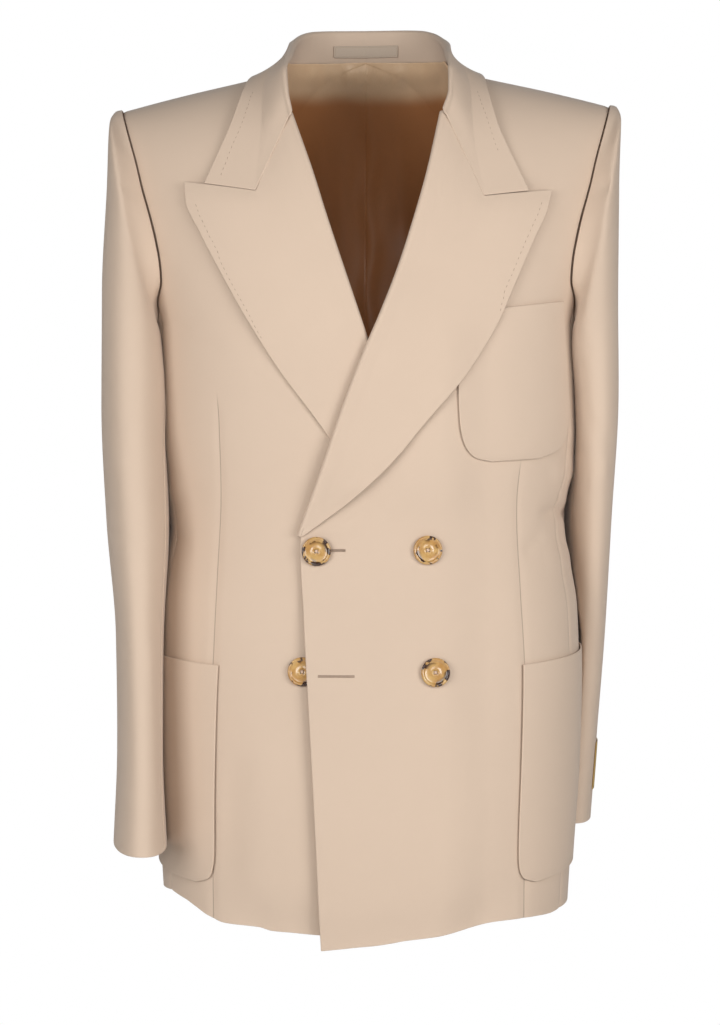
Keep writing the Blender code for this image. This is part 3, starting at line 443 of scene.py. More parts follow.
def makeBody(wool, woolDarts):
    for hand in ("left", "right"):
        mirror = hand == "right"
        grid, normal = panelGrid(front, frontShares(), hand=hand)
        away, along = dartMap(grid, front["darts"][hand])
        grid = grid - normal * (front["dartDeep"] * np.exp(-(away / front["dartWide"]) ** 2)
                                * ease(along, 0.0, front["dartFade"]))[..., None]
        crease = folds(grid[..., [0, 2]], front["folds"][hand])
        curl = (1 - ease(runs(grid, 0), 0, front["curlTall"])) ** 2
        crease = crease - front["curl"] * (curl * (1 - ease(grid[..., 0], *front["curlFade"])))
        grid = grid + normal * (crease + seamDip(grid, ((1, 1), (0, 1)), cloth))[..., None]
        piece = shellMesh("front_" + hand + "_cloth", grid, cloth["panel"], woolDarts, mirror, normal,
                          {"dart": np.stack([away, along], axis=-1)})
        sew(piece, grid, ["front_" + hand])
        grid, normal = panelGrid(back, spread(back["rows"], back["tall"]), True, hand)
        crease = folds(grid[..., [0, 2]], back["folds"][hand])
        grid = grid + normal * (crease + seamDip(grid, ((1, 0), (1, 1), (0, 1)), cloth))[..., None]
        piece = shellMesh("back_" + hand + "_cloth", grid, cloth["panel"], wool, mirror, normal)
        sew(piece, grid, ["back_" + hand])
        t = spread(side["columns"], side["wide"])
        inset = form["seam"] / 2 / form["seamRadius"]
        angle = form["sideFront"] + inset + (form["sideBack"] - form["sideFront"] - 2 * inset) * t
        up = spread(side["rows"], side["tall"])[:, None]
        level = blend(side["bottom"] - form["underarm"], sideTop(t), up) / form["below"]
        level = hemRise(angle[None, :] + 0 * level, level, hand)
        grid, normal = above(angle[None, :] + 0 * level, level, 0 * level)
        crease = folds(grid[..., [1, 2]], side["folds"][hand])
        grid = grid + normal * (crease + seamDip(grid, ((1, 0), (1, 1)), cloth))[..., None]
        piece = shellMesh("side_" + hand + "_cloth", grid, cloth["panel"], wool, mirror, normal)
        sew(piece, grid, ["side_" + hand])
    print("fronts, backs and sides done")


def lapelGrid(hand):
    table = through(lapel[hand], spread(lapel["rows"], lapel["tall"]))
    q = spread(lapel["across"], lapel["wide"], low=False)
    x, z = [np.where(q < 0.5, roll + (middle - roll) * 2 * q, blend(middle, edge, 2 * q - 1))
            for roll, middle, edge in (table.T[0::2, :, None], table.T[1::2, :, None])]
    wide = np.hypot(table[:, 4] - table[:, 0], table[:, 5] - table[:, 1])
    wide = ease(wide, 0, lapel["narrow"])[:, None]
    lift = lapel["lift"] * ease(z, *lapel["fade"][hand])
    if hand == "left":
        lift = lift + lapel["low"] * np.exp(-(((z - lapel["lowAt"]) / lapel["lowWide"]) ** 2))
    lift = lift * ease(q, 0, lapel["liftOver"])[None, :] * wide
    run = np.hypot(x - x[:, :1], z - z[:, :1])
    lay = cloth["lay"]
    out = lay + cloth["gap"] / 2 + cloth["ease"] * ease(run, 0.0, lapel["restOver"]) + lift
    face = onFront(x, z, out, hand)[0]
    root, rootNormal = onFront(x[:, 0], z[:, 0], 0.0, hand)
    inward = np.cross(np.gradient(root, axis=0), rootNormal)
    inward = unit(inward * np.sign(inward[:, :1]))
    turned = np.minimum(lapel["facing"], 0.5 * np.linalg.norm(face[:, -1] - face[:, 0], axis=1))[:, None]
    strip = [root - rootNormal * (lay + cloth["ease"]) + inward * turned * t for t in lapel["facingSteps"]]
    strip.append(root - rootNormal * (lay + cloth["gap"] / 2))
    for k in range(1, lapel["turnSteps"]):
        a = math.pi * k / lapel["turnSteps"]
        bulge = lay + cloth["gap"] / 2 + cloth["ease"] * math.sin(a)
        strip.append(root - rootNormal * bulge * math.cos(a) - inward * bulge * math.sin(a))
    return np.concatenate([np.stack(strip, axis=1), face], axis=1)


def makeLapels(wool):
    for hand in ("left", "right"):
        grid = lapelGrid(hand)
        piece = shellMesh("lapel_" + hand + "_cloth", grid, cloth["skin"], wool, hand == "right")
        sew(piece, grid, ["lapel_" + hand])
    print("lapels done")


# the collar

collar = {
    "along": 90, "standSteps": 16, "rollSteps": 12, "fallSteps": 16, "long": 0.27, "fallTall": 0.035,
    "roll": 0.0032, "rollMost": 0.4, "rollTurn": 0.86,
    # inside seam, fold, middle of the fall, outer edge, from the centre back to the front
    "stations": (((0.000, 0.0735, 0.0165), (0.000, 0.0790, 0.0467), (0.0000, 0.0880, 0.0225),
                  (0.0000, 0.0915, -0.0080)),
                 ((0.024, 0.0700, 0.0165), (0.025, 0.0750, 0.0463), (0.0265, 0.0840, 0.0220),
                  (0.0300, 0.0880, -0.0080)),
                 ((0.046, 0.0600, 0.0155), (0.046, 0.0605, 0.0437), (0.0525, 0.0690, 0.0200),
                  (0.0595, 0.0755, -0.0055)),
                 ((0.0655, 0.0390, 0.0120), (0.0595, 0.0385, 0.0368), (0.0700, 0.0450, 0.0170),
                  (0.0820, 0.0510, -0.0035)),
                 ((0.0740, 0.0180, 0.0095), (0.0645, 0.0160, 0.0278), (0.0755, 0.0190, 0.0138),
                  (0.0925, 0.0215, -0.0010)),
                 ((0.0765, -0.006, 0.0060), (0.0663, -0.0080, 0.0190), (0.0797, -0.0070, 0.0078),
                  (0.0975, -0.0060, -0.0024)),
                 ((0.0770, -0.032, 0.0020), (0.0668, -0.0330, 0.0108), (0.0820, -0.0340, 0.0026),
                  (0.1015, -0.0330, -0.0080))),
    # how much further in the fold leans at each of these, and the share of it at each line
    "lean": {"left": (0, 0, -0.0004, -0.0010, -0.0014, -0.0012, -0.0006),
             "right": (0, 0.0006, 0.0016, 0.0030, 0.0038, 0.0040, 0.0036)},
    "leanShare": (0.3, 1.0, 0.25, 0.1), "crisp": (0.60, 0.88),
    # the same on the front: four (x, z), then how far the seam and the fold stand off
    "left": ((0.0740, -0.0080, 0.0646, -0.0055, 0.0870, -0.0220, 0.1030, -0.0275, 0.0008, 0.0082),
             (0.0715, -0.0262, 0.0658, -0.0250, 0.0890, -0.0600, 0.1095, -0.0545, 0.0006, 0.0074),
             (0.0680, -0.0400, 0.0618, -0.0420, 0.0976, -0.1152, 0.1347, -0.1108, 0.0006, 0.0056)),
    "right": ((0.0722, -0.0080, 0.0622, -0.0055, 0.0862, -0.0220, 0.1045, -0.0260, 0.0008, 0.0082),
              (0.0680, -0.0262, 0.0622, -0.0250, 0.0875, -0.0570, 0.1125, -0.0510, 0.0006, 0.0074),
              (0.0668, -0.0405, 0.0600, -0.0425, 0.0921, -0.1094, 0.1343, -0.1024, 0.0006, 0.0056)),
}


def collarGrid():
    lie = cloth["lay"] + cloth["ease"] + lapel["lift"]
    share = 1 - spread(collar["along"], collar["long"], high=False)[::-1]
    halves = []
    for hand in ("right", "left"):
        stations = [np.array(row, float) for row in collar["stations"]]
        for station, lean in zip(stations, collar["lean"][hand]):
            station[:, 0] -= lean * np.array(collar["leanShare"])
        for row in collar[hand]:
            spots = zip(row[0:8:2], row[1:8:2], (row[8], row[9], lie, lie))
            stations.append(np.array([onFront(x, z, out, "right")[0] for x, z, out in spots]))
        halves.append([through([s[k] for s in stations], share) for k in range(4)])
    seam, fold, middle, edge = [np.concatenate([a[:0:-1] * [-1, 1, 1], b]) for a, b in zip(*halves)]
    up = unit(fold - seam)
    down = middle - fold
    side = unit(down - (down * up).sum(1, keepdims=True) * up)
    tall = np.linalg.norm(fold - seam, axis=1)[:, None]
    radius = np.minimum(collar["roll"], tall * collar["rollMost"])
    rows = [seam + (fold - up * radius - seam) * t for t in np.linspace(0, 1, collar["standSteps"])]
    centre = fold - up * radius + side * radius
    for k in range(1, collar["rollSteps"] + 1):
        a = math.pi * collar["rollTurn"] * k / collar["rollSteps"]
        rows.append(centre - side * radius * math.cos(a) + up * radius * math.sin(a))
    start = rows[-1]
    bend = middle * 2 - (start + edge) / 2
    fall = np.concatenate([np.linspace(0, 0.5, collar["fallSteps"])[1:],
                           0.5 + 0.5 * spread(collar["fallSteps"], collar["fallTall"], low=False)[1:]])
    ends = np.abs(np.linspace(-1, 1, len(edge)))
    crisp = ease(ends, *collar["crisp"])[:, None]        # the gorge keeps its corner
    for t in fall:
        soft = start * (1 - t) ** 2 + bend * 2 * t * (1 - t) + edge * t ** 2
        bent = start + (middle - start) * 2 * t if t < 0.5 else middle + (edge - middle) * (2 * t - 1)
        rows.append(soft + (bent - soft) * crisp)
    return np.stack(rows, axis=0)


def makeCollar(wool):
    grid = collarGrid()
    piece = shellMesh("collar_cloth", grid, cloth["skin"], wool)
    sew(piece, grid, ["collar"])
    print("collar done")
    return grid


# pockets

pockets = {
    # rows from the bottom: left edge, right edge (x, z)
    "chest": ((0.1050, -0.3360, 0.1450, -0.3342), (0.0915, -0.3325, 0.1625, -0.3278),
              (0.0820, -0.3220, 0.1700, -0.3155), (0.0775, -0.3050, 0.1725, -0.2960),
              (0.0757, -0.2700, 0.1700, -0.2600), (0.0748, -0.2125, 0.1660, -0.2018)),
    # inner edge (x, z), outer edge (degrees round from the front, z)
    "hip": ((0.1440, -0.6985, 108.0, -0.6880), (0.1335, -0.6935, 113.0, -0.6830),
            (0.1295, -0.6800, 115.0, -0.6700), (0.1290, -0.6200, 115.0, -0.6120),
            (0.1265, -0.5108, 115.0, -0.5010)),
    "lean": {"left": 0.0065, "right": -0.0015},
    "leanOver": (-0.68, -0.50), "rows": 60, "columns": 50,
    "chestTall": 0.13, "chestWide": 0.09, "hipTall": 0.18, "hipWide": 0.15,
}


def makePockets(wool):
    lie = cloth["lay"] + cloth["ease"]
    table = through(pockets["chest"], spread(pockets["rows"], pockets["chestTall"]))
    t = spread(pockets["columns"], pockets["chestWide"])
    x, z = blend(table[:, :1], table[:, 2:3], t), blend(table[:, 1:2], table[:, 3:4], t)
    grid, normal = onFront(x, z, lie, "left")
    piece = shellMesh("pocket_chest_cloth", grid, cloth["skin"], wool, False, normal)
    sew(piece, grid, ["pocket_chest"])
    for hand in ("left", "right"):
        rows = np.array(pockets["hip"])
        rows[:, 0] += pockets["lean"][hand] * ease(rows[:, 1], *pockets["leanOver"])
        inner = find(rows[:, 0], rows[:, 1])
        knots = np.column_stack([inner[0], inner[1], np.radians(rows[:, 2]),
                                 (rows[:, 3] - form["underarm"]) / form["below"]])
        table = through(knots, spread(pockets["rows"], pockets["hipTall"]))
        t = spread(pockets["columns"], pockets["hipWide"])
        angle, level = blend(table[:, :1], table[:, 2:3], t), blend(table[:, 1:2], table[:, 3:4], t)
        flat = bodyPoint(angle, level)
        grid, normal = above(angle, level, lie + standOff(flat[..., 0], flat[..., 2], hand))
        piece = shellMesh("pocket_hip_" + hand + "_cloth", grid, cloth["skin"], wool, hand == "right", normal)
        sew(piece, grid, ["pocket_hip_" + hand])
    print("pockets done")


# sleeves

sleeves = {
    "rows": 130, "top": 100, "under": 70, "long": 0.66, "crowd": 1.1, "halfWide": 0.2,
    "square": 2.25, "seamFront": 148.0, "seamBack": -138.0, "seamGap": 0.35, "along": 0.0010, "out": 0.0021,
    # the armhole: points on its sides and bottom, its middle (x, z), and half its width and height
    "sidePoints": 90, "bottomPoints": 40, "middle": (0.2, -0.132), "oval": (0.068, 0.1),
    "ropeOut": 0.0045, "ropeRound": 0.0020, "ropeTop": -0.0030, "ropeUnder": 0.0040,
    "tuck": 0.012, "tuckOver": (0.28, 0.36), "crisp": (0.55, 0.90),
    # how the inner side keeps clear of the body and of the hip pockets
    "bodyAt": 0.19, "bodyMost": 0.96, "clear": 0.0018, "clearOver": 0.06,
    "clearPocket": 0.0035, "pocketOver": (0.46, 0.50), "pushOver": 0.05, "pushBelow": (0.165, 0.225),
    "softness": 0.0012, "softOver": 0.04, "softLeast": 0.0001,
    "lengths": (0, 0.006, 0.022, 0.09, 0.17, 0.27, 0.37, 0.47, 0.57, 0.66),
    "fine": 600, "blur": 0.030, "blurReach": 3, "perDegree": 0.0011, "creaseOver": 0.04,
    "dip": 0.0004, "dipWide": 0.0020,
    # creases: from (degrees round, z) to (degrees round, z), half width, height
    "folds": {"left": ((84, -0.066, 72, -0.090, 0.0045, -0.0013), (72, -0.098, 66, -0.106, 0.0045, -0.0009),
                       (102, -0.1140, 64, -0.1040, 0.0040, -0.0016),
                       (102, -0.1320, 84, -0.1160, 0.0045, -0.0013),
                       (108, -0.1560, 88, -0.1380, 0.0060, -0.0006),
                       (120, -0.300, 60, -0.330, 0.012, -0.0010), (110, -0.360, 70, -0.345, 0.010, 0.0009),
                       (45, -0.200, 40, -0.560, 0.020, 0.0008), (-30, -0.120, -60, -0.150, 0.007, -0.0014),
                       (-40, -0.090, -75, -0.110, 0.006, -0.0010),
                       (-60, -0.300, -120, -0.335, 0.010, -0.0014),
                       (-55, -0.350, -115, -0.362, 0.010, -0.0012)),
              "right": ((66, -0.0985, 104, -0.1150, 0.0060, -0.0016),
                        (70, -0.120, 100, -0.140, 0.008, -0.0006), (60, -0.320, 120, -0.345, 0.012, -0.0008),
                        (65, -0.360, 115, -0.375, 0.010, 0.0008), (62, -0.200, 78, -0.560, 0.022, 0.0009),
                        (110, -0.480, 120, -0.640, 0.010, 0.0008), (-30, -0.110, -65, -0.135, 0.007, -0.0013),
                        (-60, -0.310, -118, -0.335, 0.010, -0.0014),
                        (-58, -0.345, -120, -0.372, 0.010, -0.0011),
                        (-40, -0.160, -90, -0.185, 0.010, -0.0008))},
    # outer (x, z), inner (x, z), front y, back y, outward shift of the back against the front
    "right": ((0.2222, -0.0405, 0.1740, -0.2420, -0.084, 0.064, 0.000),
              (0.2254, -0.1000, 0.1720, -0.2560, -0.092, 0.068, 0.003),
              (0.2302, -0.1900, 0.1705, -0.2800, -0.098, 0.066, 0.006),
              (0.2309, -0.2900, 0.1735, -0.3300, -0.105, 0.056, 0.010),
              (0.2264, -0.3900, 0.1727, -0.4000, -0.112, 0.044, 0.012),
              (0.2177, -0.4900, 0.1772, -0.4930, -0.122, 0.030, 0.014),
              (0.2161, -0.5900, 0.1780, -0.5900, -0.129, 0.015, 0.016),
              (0.2188, -0.6690, 0.1740, -0.6695, -0.134, 0.001, 0.014)),
    "left": ((0.2212, -0.0415, 0.1725, -0.2420, -0.081, 0.064, 0.000),
             (0.2197, -0.1000, 0.1726, -0.2560, -0.086, 0.070, 0.000),
             (0.2193, -0.1900, 0.1749, -0.2800, -0.080, 0.078, -0.003),
             (0.2201, -0.2900, 0.1770, -0.3300, -0.068, 0.088, -0.006),
             (0.2160, -0.3900, 0.1776, -0.4000, -0.042, 0.108, -0.009),
             (0.2140, -0.4900, 0.1765, -0.4930, -0.008, 0.138, -0.010),
             (0.2113, -0.5900, 0.1720, -0.5900, 0.022, 0.160, -0.008),
             (0.2080, -0.6735, 0.1660, -0.6735, 0.040, 0.172, -0.006)),
}


def armhole():
    count = sleeves["sidePoints"]
    forward = panelEdges(front["edges"], np.linspace(1, front["underarm"], count), False)[1]
    behind = panelEdges(back["edges"], np.linspace(back["underarm"], 1, count), True)[1]
    t = np.linspace(0, 1, sleeves["bottomPoints"])[1:-1]
    angles = np.concatenate([forward[0], blend(form["sideFront"], form["sideBack"], t), behind[0]])
    levels = np.concatenate([forward[1], sideTop(t) / form["below"], behind[1]])
    return above(angles, levels, np.zeros(len(angles)))


def sleeveRing(row, turn):
    outerX, outerZ, innerX, innerZ, frontY, backY, lean = row
    c, s = np.cos(turn), np.sin(turn)
    c = np.sign(c) * np.abs(c) ** (2 / sleeves["square"])
    s = np.sign(s) * np.abs(s) ** (2 / sleeves["square"])
    x = (outerX + innerX) / 2 + (outerX - innerX) / 2 * c - lean * s / 2
    z = (outerZ + innerZ) / 2 + (outerZ - innerZ) / 2 * c
    x = x + sleeves["tuck"] * np.maximum(-s, 0) * (1 - c) / 2 * (1 - ease(-z, *sleeves["tuckOver"]))
    return np.stack([x, (frontY + backY) / 2 + (frontY - backY) / 2 * s, z], axis=-1)


def sleeveGrid(hand, at, turns):
    loop, normal = armhole()
    (middleX, middleZ), (deep, tall) = sleeves["middle"], sleeves["oval"]
    middle = np.array([middleX, (loop[:, 1].max() + loop[:, 1].min()) / 2, middleZ])
    bearing = np.unwrap(np.arctan2(-(loop[:, 1] - middle[1]) / deep, (loop[:, 2] - middle[2]) / tall))
    order = np.argsort(bearing)
    away = np.cross(np.gradient(loop, axis=0), normal)
    away = unit(away * np.sign(((middle - loop) * away)[:, 1:].sum(axis=1, keepdims=True)))
    moved = loop + away * sleeves["along"] + normal * sleeves["out"]
    table = np.column_stack([bearing[order], moved[order]])
    full = np.array([2 * math.pi, 0, 0, 0])
    wrapped = np.concatenate([table - full, table, table + full])
    start = np.stack([np.interp(turns, wrapped[:, 0], wrapped[:, c]) for c in (1, 2, 3)], axis=-1)
    outward = start - middle
    outward[:, 0] = 0
    tall = sleeves["ropeRound"] + sleeves["ropeTop"] * np.maximum(np.cos(turns), 0)
    rope = start + unit(outward) * tall[:, None]
    rope[:, 0] += sleeves["ropeOut"] + sleeves["ropeUnder"] * np.maximum(-np.cos(turns), 0)
    rings = np.stack([start, rope] + [sleeveRing(r, turns) for r in sleeves[hand]])
    share = np.array(sleeves["lengths"]) / sleeves["lengths"][-1]
    fine = np.linspace(0, 1, sleeves["fine"])
    run = np.stack([np.stack([curve(np.column_stack([share, rings[:, j, c]]), 1, fine)
                              for j in range(len(turns))], axis=1) for c in range(3)], axis=-1)
    reach = int(sleeves["blurReach"] * sleeves["blur"] * sleeves["fine"])
    kernel = np.exp(-(np.arange(-reach, reach + 1) / (sleeves["blur"] * sleeves["fine"])) ** 2)
    padded = np.concatenate([2 * run[:1] - run[reach:0:-1], run, 2 * run[-1:] - run[-2:-reach - 2:-1]])
    soft = np.apply_along_axis(np.convolve, 0, padded, kernel / kernel.sum(), "valid")
    crisp = ease(np.cos(turns), *sleeves["crisp"])[:, None]        # the top of the head is not softened
    run = blend(run, soft, 1 - crisp)
    grid = np.stack([[np.interp(at, fine, run[:, j, c]) for j in range(len(turns))] for c in range(3)])
    return keepClear(grid.transpose(2, 1, 0), at)


def keepClear(grid, at):        # push the sleeve's inner side out of the body
    low = np.minimum(grid[..., 2], form["underarm"])
    risen = (grid[..., 2] - form["underarm"]) / (ridge(sleeves["bodyAt"]) - form["underarm"])
    risen = np.clip(risen, 0, sleeves["bodyMost"]) ** (form["dome"] / 2)
    half = curve(form["body"], 1, low) + (form["shoulderHalf"] - form["underarmHalf"]) * risen
    depth = np.where(grid[..., 1] < 0, curve(form["body"], 2, low), curve(form["body"], 3, low))
    depth = depth * (1 - risen**2) ** (1 / form["dome"])
    across = np.clip(1 - (np.abs(grid[..., 1]) / depth) ** form["square"], 0, 1) ** (1 / form["square"])
    clear = blend(sleeves["out"], sleeves["clear"], ease(at, 0.0, sleeves["clearOver"])[:, None])
    body = half * across + clear + sleeves["clearPocket"] * ease(-grid[..., 2], *sleeves["pocketOver"])
    soft = sleeves["softness"] * ease(at, 0.0, sleeves["softOver"])[:, None] + sleeves["softLeast"]
    weight = ease(at, 0.0, sleeves["pushOver"])[:, None] * ease(-grid[..., 2], *sleeves["pushBelow"])
    grid[..., 0] += soft * np.logaddexp(0, (body - grid[..., 0]) / soft) * weight
    return grid


def makeSleeves(wool):
    at = spread(sleeves["rows"], sleeves["long"]) ** sleeves["crowd"]
    gap, degree = sleeves["seamGap"], sleeves["perDegree"]
    spans = {"top": (sleeves["seamBack"] + gap, sleeves["seamFront"] - gap),
             "under": (sleeves["seamFront"] + gap, 360 + sleeves["seamBack"] - gap)}
    for hand in ("left", "right"):
        for half, (low, high) in spans.items():
            turns = np.radians(blend(low, high, spread(sleeves[half], sleeves["halfWide"])))
            grid = sleeveGrid(hand, at, turns)
            outward = gridNormals(grid)
            outward = outward * sleeveSide(grid, outward)
            around = np.broadcast_to((np.degrees(turns) + 180) % 360 - 180, grid.shape[:2]) * degree
            table = [(a * degree, b, c * degree, d, wide, tall)
                     for a, b, c, d, wide, tall in sleeves["folds"][hand]]
            crease = folds(np.stack([around, grid[..., 2]], axis=-1), table)
            crease = crease * ease(at, 0.0, sleeves["creaseOver"])[:, None]
            grid = grid + outward * (crease + seamDip(grid, ((1, 0), (1, 1)), sleeves))[..., None]
            name = half + "_sleeve_" + hand
            piece = shellMesh(name + "_cloth", grid, cloth["panel"], wool, hand == "right")
            sew(piece, grid, [name])
    print("sleeves done")


def sleeveSide(grid, outward):        # +1 where the grid's normals already point out of the sleeve
    middle = grid.mean(axis=1, keepdims=True)
    return np.sign(((grid - middle) * outward).sum())


# the back lining, seen in the neck

lining = {"columns": 88, "rows": 130, "crowd": 1.3, "from": 0.03, "to": 0.985, "drop": 0.004,
          # how far past the seam it runs
          "past": 0.05, "pastNeck": 0.10, "neck": (0.75, 1.0),
          "rise": 0.0066, "riseOver": (0.70, 0.80),
          "inside": 0.003, "insideNeck": 0.002, "insideOver": (0.70, 0.95),
          "pleat": 0.0030, "pleatAt": 0.004, "pleatWide": 0.008, "pleatFade": 0.03,
          "wave": 0.0028, "waveLong": 0.085,
          "puffAt": 0.004, "puffTall": 0.010, "puffDeep": 0.0065, "puffLeast": 0.8,
          "puckers": (410.0, 173.0, 97.0), "puckerPart": 7,
          # creases: from (x, z) to (x, z), half width, height
          "folds": ((0.030, -0.030, 0.034, -0.150, 0.010, -0.0022),
                    (-0.042, -0.030, -0.034, -0.160, 0.011, -0.0020),
                    (0.060, -0.040, 0.052, -0.140, 0.010, 0.0016),
                    (-0.018, -0.050, -0.022, -0.170, 0.009, 0.0014),
                    (-0.070, -0.030, -0.058, -0.130, 0.010, 0.0014))}


def makeLining(satin):
    for hand in ("left", "right"):
        share = np.linspace(lining["from"], lining["to"], lining["rows"])
        (a0, l0), (a1, l1) = panelEdges(back["edges"], share, True)
        a1 = a1 + lining["past"] + lining["pastNeck"] * ease(share, *lining["neck"])
        t = np.linspace(0, 1, lining["columns"]) ** lining["crowd"]
        angle = blend(a0[:, None], a1[:, None], t)
        level = blend(l0[:, None], l1[:, None], t) - lining["drop"]
        deeper = lining["insideNeck"] * ease(share, *lining["insideOver"])[:, None]
        inset = cloth["panel"] / 2 + lining["inside"] + cloth["lining"] / 2 + deeper
        grid, normal = above(angle, level, 0 * angle - inset)
        grid[..., 2] += lining["rise"] * ease(share, *lining["riseOver"])[:, None] * (1 - t)
        real = grid * [1 if hand == "left" else -1, 1, 1]
        x, z = real[..., 0], real[..., 2]
        pleatAt = lining["pleatAt"] + lining["wave"] * np.sin(2 * math.pi * z / lining["waveLong"])
        forward = lining["pleat"] * np.exp(-(((x - pleatAt) / lining["pleatWide"]) ** 2))
        forward *= ease(-z, 0.0, lining["pleatFade"])
        ruck = sum(np.sin(x * k + k) for k in lining["puckers"]) / lining["puckerPart"]
        puff = lining["puffDeep"] * np.exp(-(((z - lining["puffAt"]) / lining["puffTall"]) ** 2))
        forward += puff * (lining["puffLeast"] + ruck)
        grid[..., 1] -= forward + folds(real[..., [0, 2]], lining["folds"])
        piece = shellMesh("lining_" + hand + "_satin", grid, cloth["lining"], satin, hand == "right", normal)
        sew(piece, grid, ["lining_" + hand])
    print("lining done")


# labels and buttons

labels = {"neckHalf": 0.0285, "neckLow": 0.20, "neckHigh": 0.575, "neckRows": 14, "neckColumns": 50,
          "thick": 0.0008, "cuffTurns": (14, 46), "cuffTop": -0.600, "cuffBottom": -0.644,
          "cuffFrom": 0.8, "cuffRings": 60, "cuffRows": 30, "cuffColumns": 24}


def marginMap(grid):        # distance from the nearest edge
    u, v = runs(grid, 1), runs(grid, 0)
    near = np.minimum(np.minimum(u, u[:, -1:] - u), np.minimum(v, v[-1:] - v))
    return np.stack([near, 0 * near], axis=-1)


def makeLabels(collarRows, ribbon, gold):
    fold = collarRows[collar["standSteps"] - 1]
    rows = []
    for share in np.linspace(labels["neckLow"], labels["neckHigh"], labels["neckRows"]):
        line = blend(collarRows[0], fold, share)
        keep = np.linspace(-labels["neckHalf"], labels["neckHalf"], labels["neckColumns"])
        order = np.argsort(line[:, 0])
        rows.append(np.stack([keep, np.interp(keep, line[order, 0], line[order, 1]),
                              np.interp(keep, line[order, 0], line[order, 2])], axis=-1))
    grid = np.stack(rows) - [0, cloth["skin"] / 2 + 2 * cloth["gap"] + labels["thick"] / 2, 0]
    piece = shellMesh("label_neck_ribbon", grid, labels["thick"], ribbon, maps={"margin": marginMap(grid)})
    sew(piece, grid, ["label_neck"])
    turns = np.radians(np.linspace(*labels["cuffTurns"], labels["cuffColumns"]))
    cuff = sleeveGrid("left", np.linspace(labels["cuffFrom"], 1, labels["cuffRings"]), turns)
    heights = np.linspace(labels["cuffTop"], labels["cuffBottom"], labels["cuffRows"])
    grid = np.stack([np.stack([np.interp(-heights, -cuff[:, j, 2], cuff[:, j, c])
                               for j in range(len(turns))], axis=1) for c in range(3)], axis=-1)
    outward = gridNormals(grid)
    outward *= np.sign(outward[len(heights) // 2, len(turns) // 2, 0])
    grid = grid + outward * (cloth["panel"] / 2 + cloth["gap"] + labels["thick"] / 2)
    piece = shellMesh("label_cuff_ribbon", grid, labels["thick"], gold, maps={"margin": marginMap(grid)})
    sew(piece, grid, ["label_cuff"])
    print("labels done")


# materials

class Value:        # a node's output that takes part in sums
    def __init__(self, nodes, socket):
        self.nodes, self.socket = nodes, socket

    def __add__(self, other):
        return self.nodes.math("ADD", self, other)

    def __sub__(self, other):
        return self.nodes.math("SUBTRACT", self, other)

    def __rsub__(self, other):
        return self.nodes.math("SUBTRACT", other, self)

    def __mul__(self, other):
        return self.nodes.math("MULTIPLY", self, other)


class Nodes:        # one material and its nodes
    def __init__(self, name, rough, **fixed):
        self.material = bpy.data.materials.new(name)
        self.material.use_nodes = True
        self.tree = self.material.node_tree
        self.shader = self.tree.nodes["Principled BSDF"]
        self.shader.inputs["Roughness"].default_value = rough
        for socket, value in fixed.items():
            self.shader.inputs[socket.replace("_", " ")].default_value = value

    def node(self, kind, settings, values, output=0):
        made = self.tree.nodes.new(kind)
        for name, value in settings.items():
            setattr(made, name, value)
        for name, value in values.items():
            if isinstance(value, Value):
                self.tree.links.new(value.socket, made.inputs[name])
            else:
                made.inputs[name].default_value = value
        return Value(self, made.outputs[output])

    def math(self, operation, a, b=0.0, c=0.0):
        return self.node("ShaderNodeMath", {"operation": operation}, {0: a, 1: b, 2: c})

    def mix(self, share, a, b):
        return self.node("ShaderNodeMix", {"data_type": "RGBA"}, {0: share, 6: a, 7: b}, 2)

    def between(self, value, low, high):        # 0 below low, 1 above high
        values = {0: value, 1: low, 2: high}
        return self.node("ShaderNodeMapRange", {"interpolation_type": "SMOOTHSTEP"}, values)

    def noise(self, where, scale, detail=2.0, rough=0.5):
        values = {"Vector": where, "Scale": scale, "Detail": detail, "Roughness": rough}
        return self.node("ShaderNodeTexNoise", {}, values)

    def place(self):
        return self.node("ShaderNodeTexCoord", {}, {}, "Object")

    def cut(self, name="cut"):        # a piece's own map, in metres along and across the cloth
        at = self.node("ShaderNodeUVMap", {"uv_map": name}, {})
        split = self.tree.nodes.new("ShaderNodeSeparateXYZ")
        self.tree.links.new(at.socket, split.inputs[0])
        return at, Value(self, split.outputs[0]), Value(self, split.outputs[1])

    def feed(self, socket, value):
        self.tree.links.new(value.socket, self.shader.inputs[socket])

    def bump(self, height, deep, strength=1.0):
        values = {"Height": height, "Distance": deep, "Strength": strength}
        self.feed("Normal", self.node("ShaderNodeBump", {}, values))


def shade(colour, factor):
    return tuple(c * factor for c in colour) + (1.0,)


uneven = {"dim": 0.86, "bright": 1.14}        # a cloth's darkest and lightest threads
wool = {"colour": (0.590, 0.457, 0.352), "rough": 0.82, "roughVary": 0.2, "rib": 0.0009, "lean": 0.45,
        "fibre": 2600.0, "tone": 7.0, "ribTone": 0.05, "fibreTone": 0.25, "cloudTone": 0.30,
        "ribShare": 0.5, "ribDeep": 0.00006, "bump": 0.6,
        # the dart's darker colour is painted shade in its sunk seam
        "dart": 0.0007, "dartFade": 0.02, "dartShare": 0.62, "dartPaintedShade": 0.42, "dartDeep": 6}


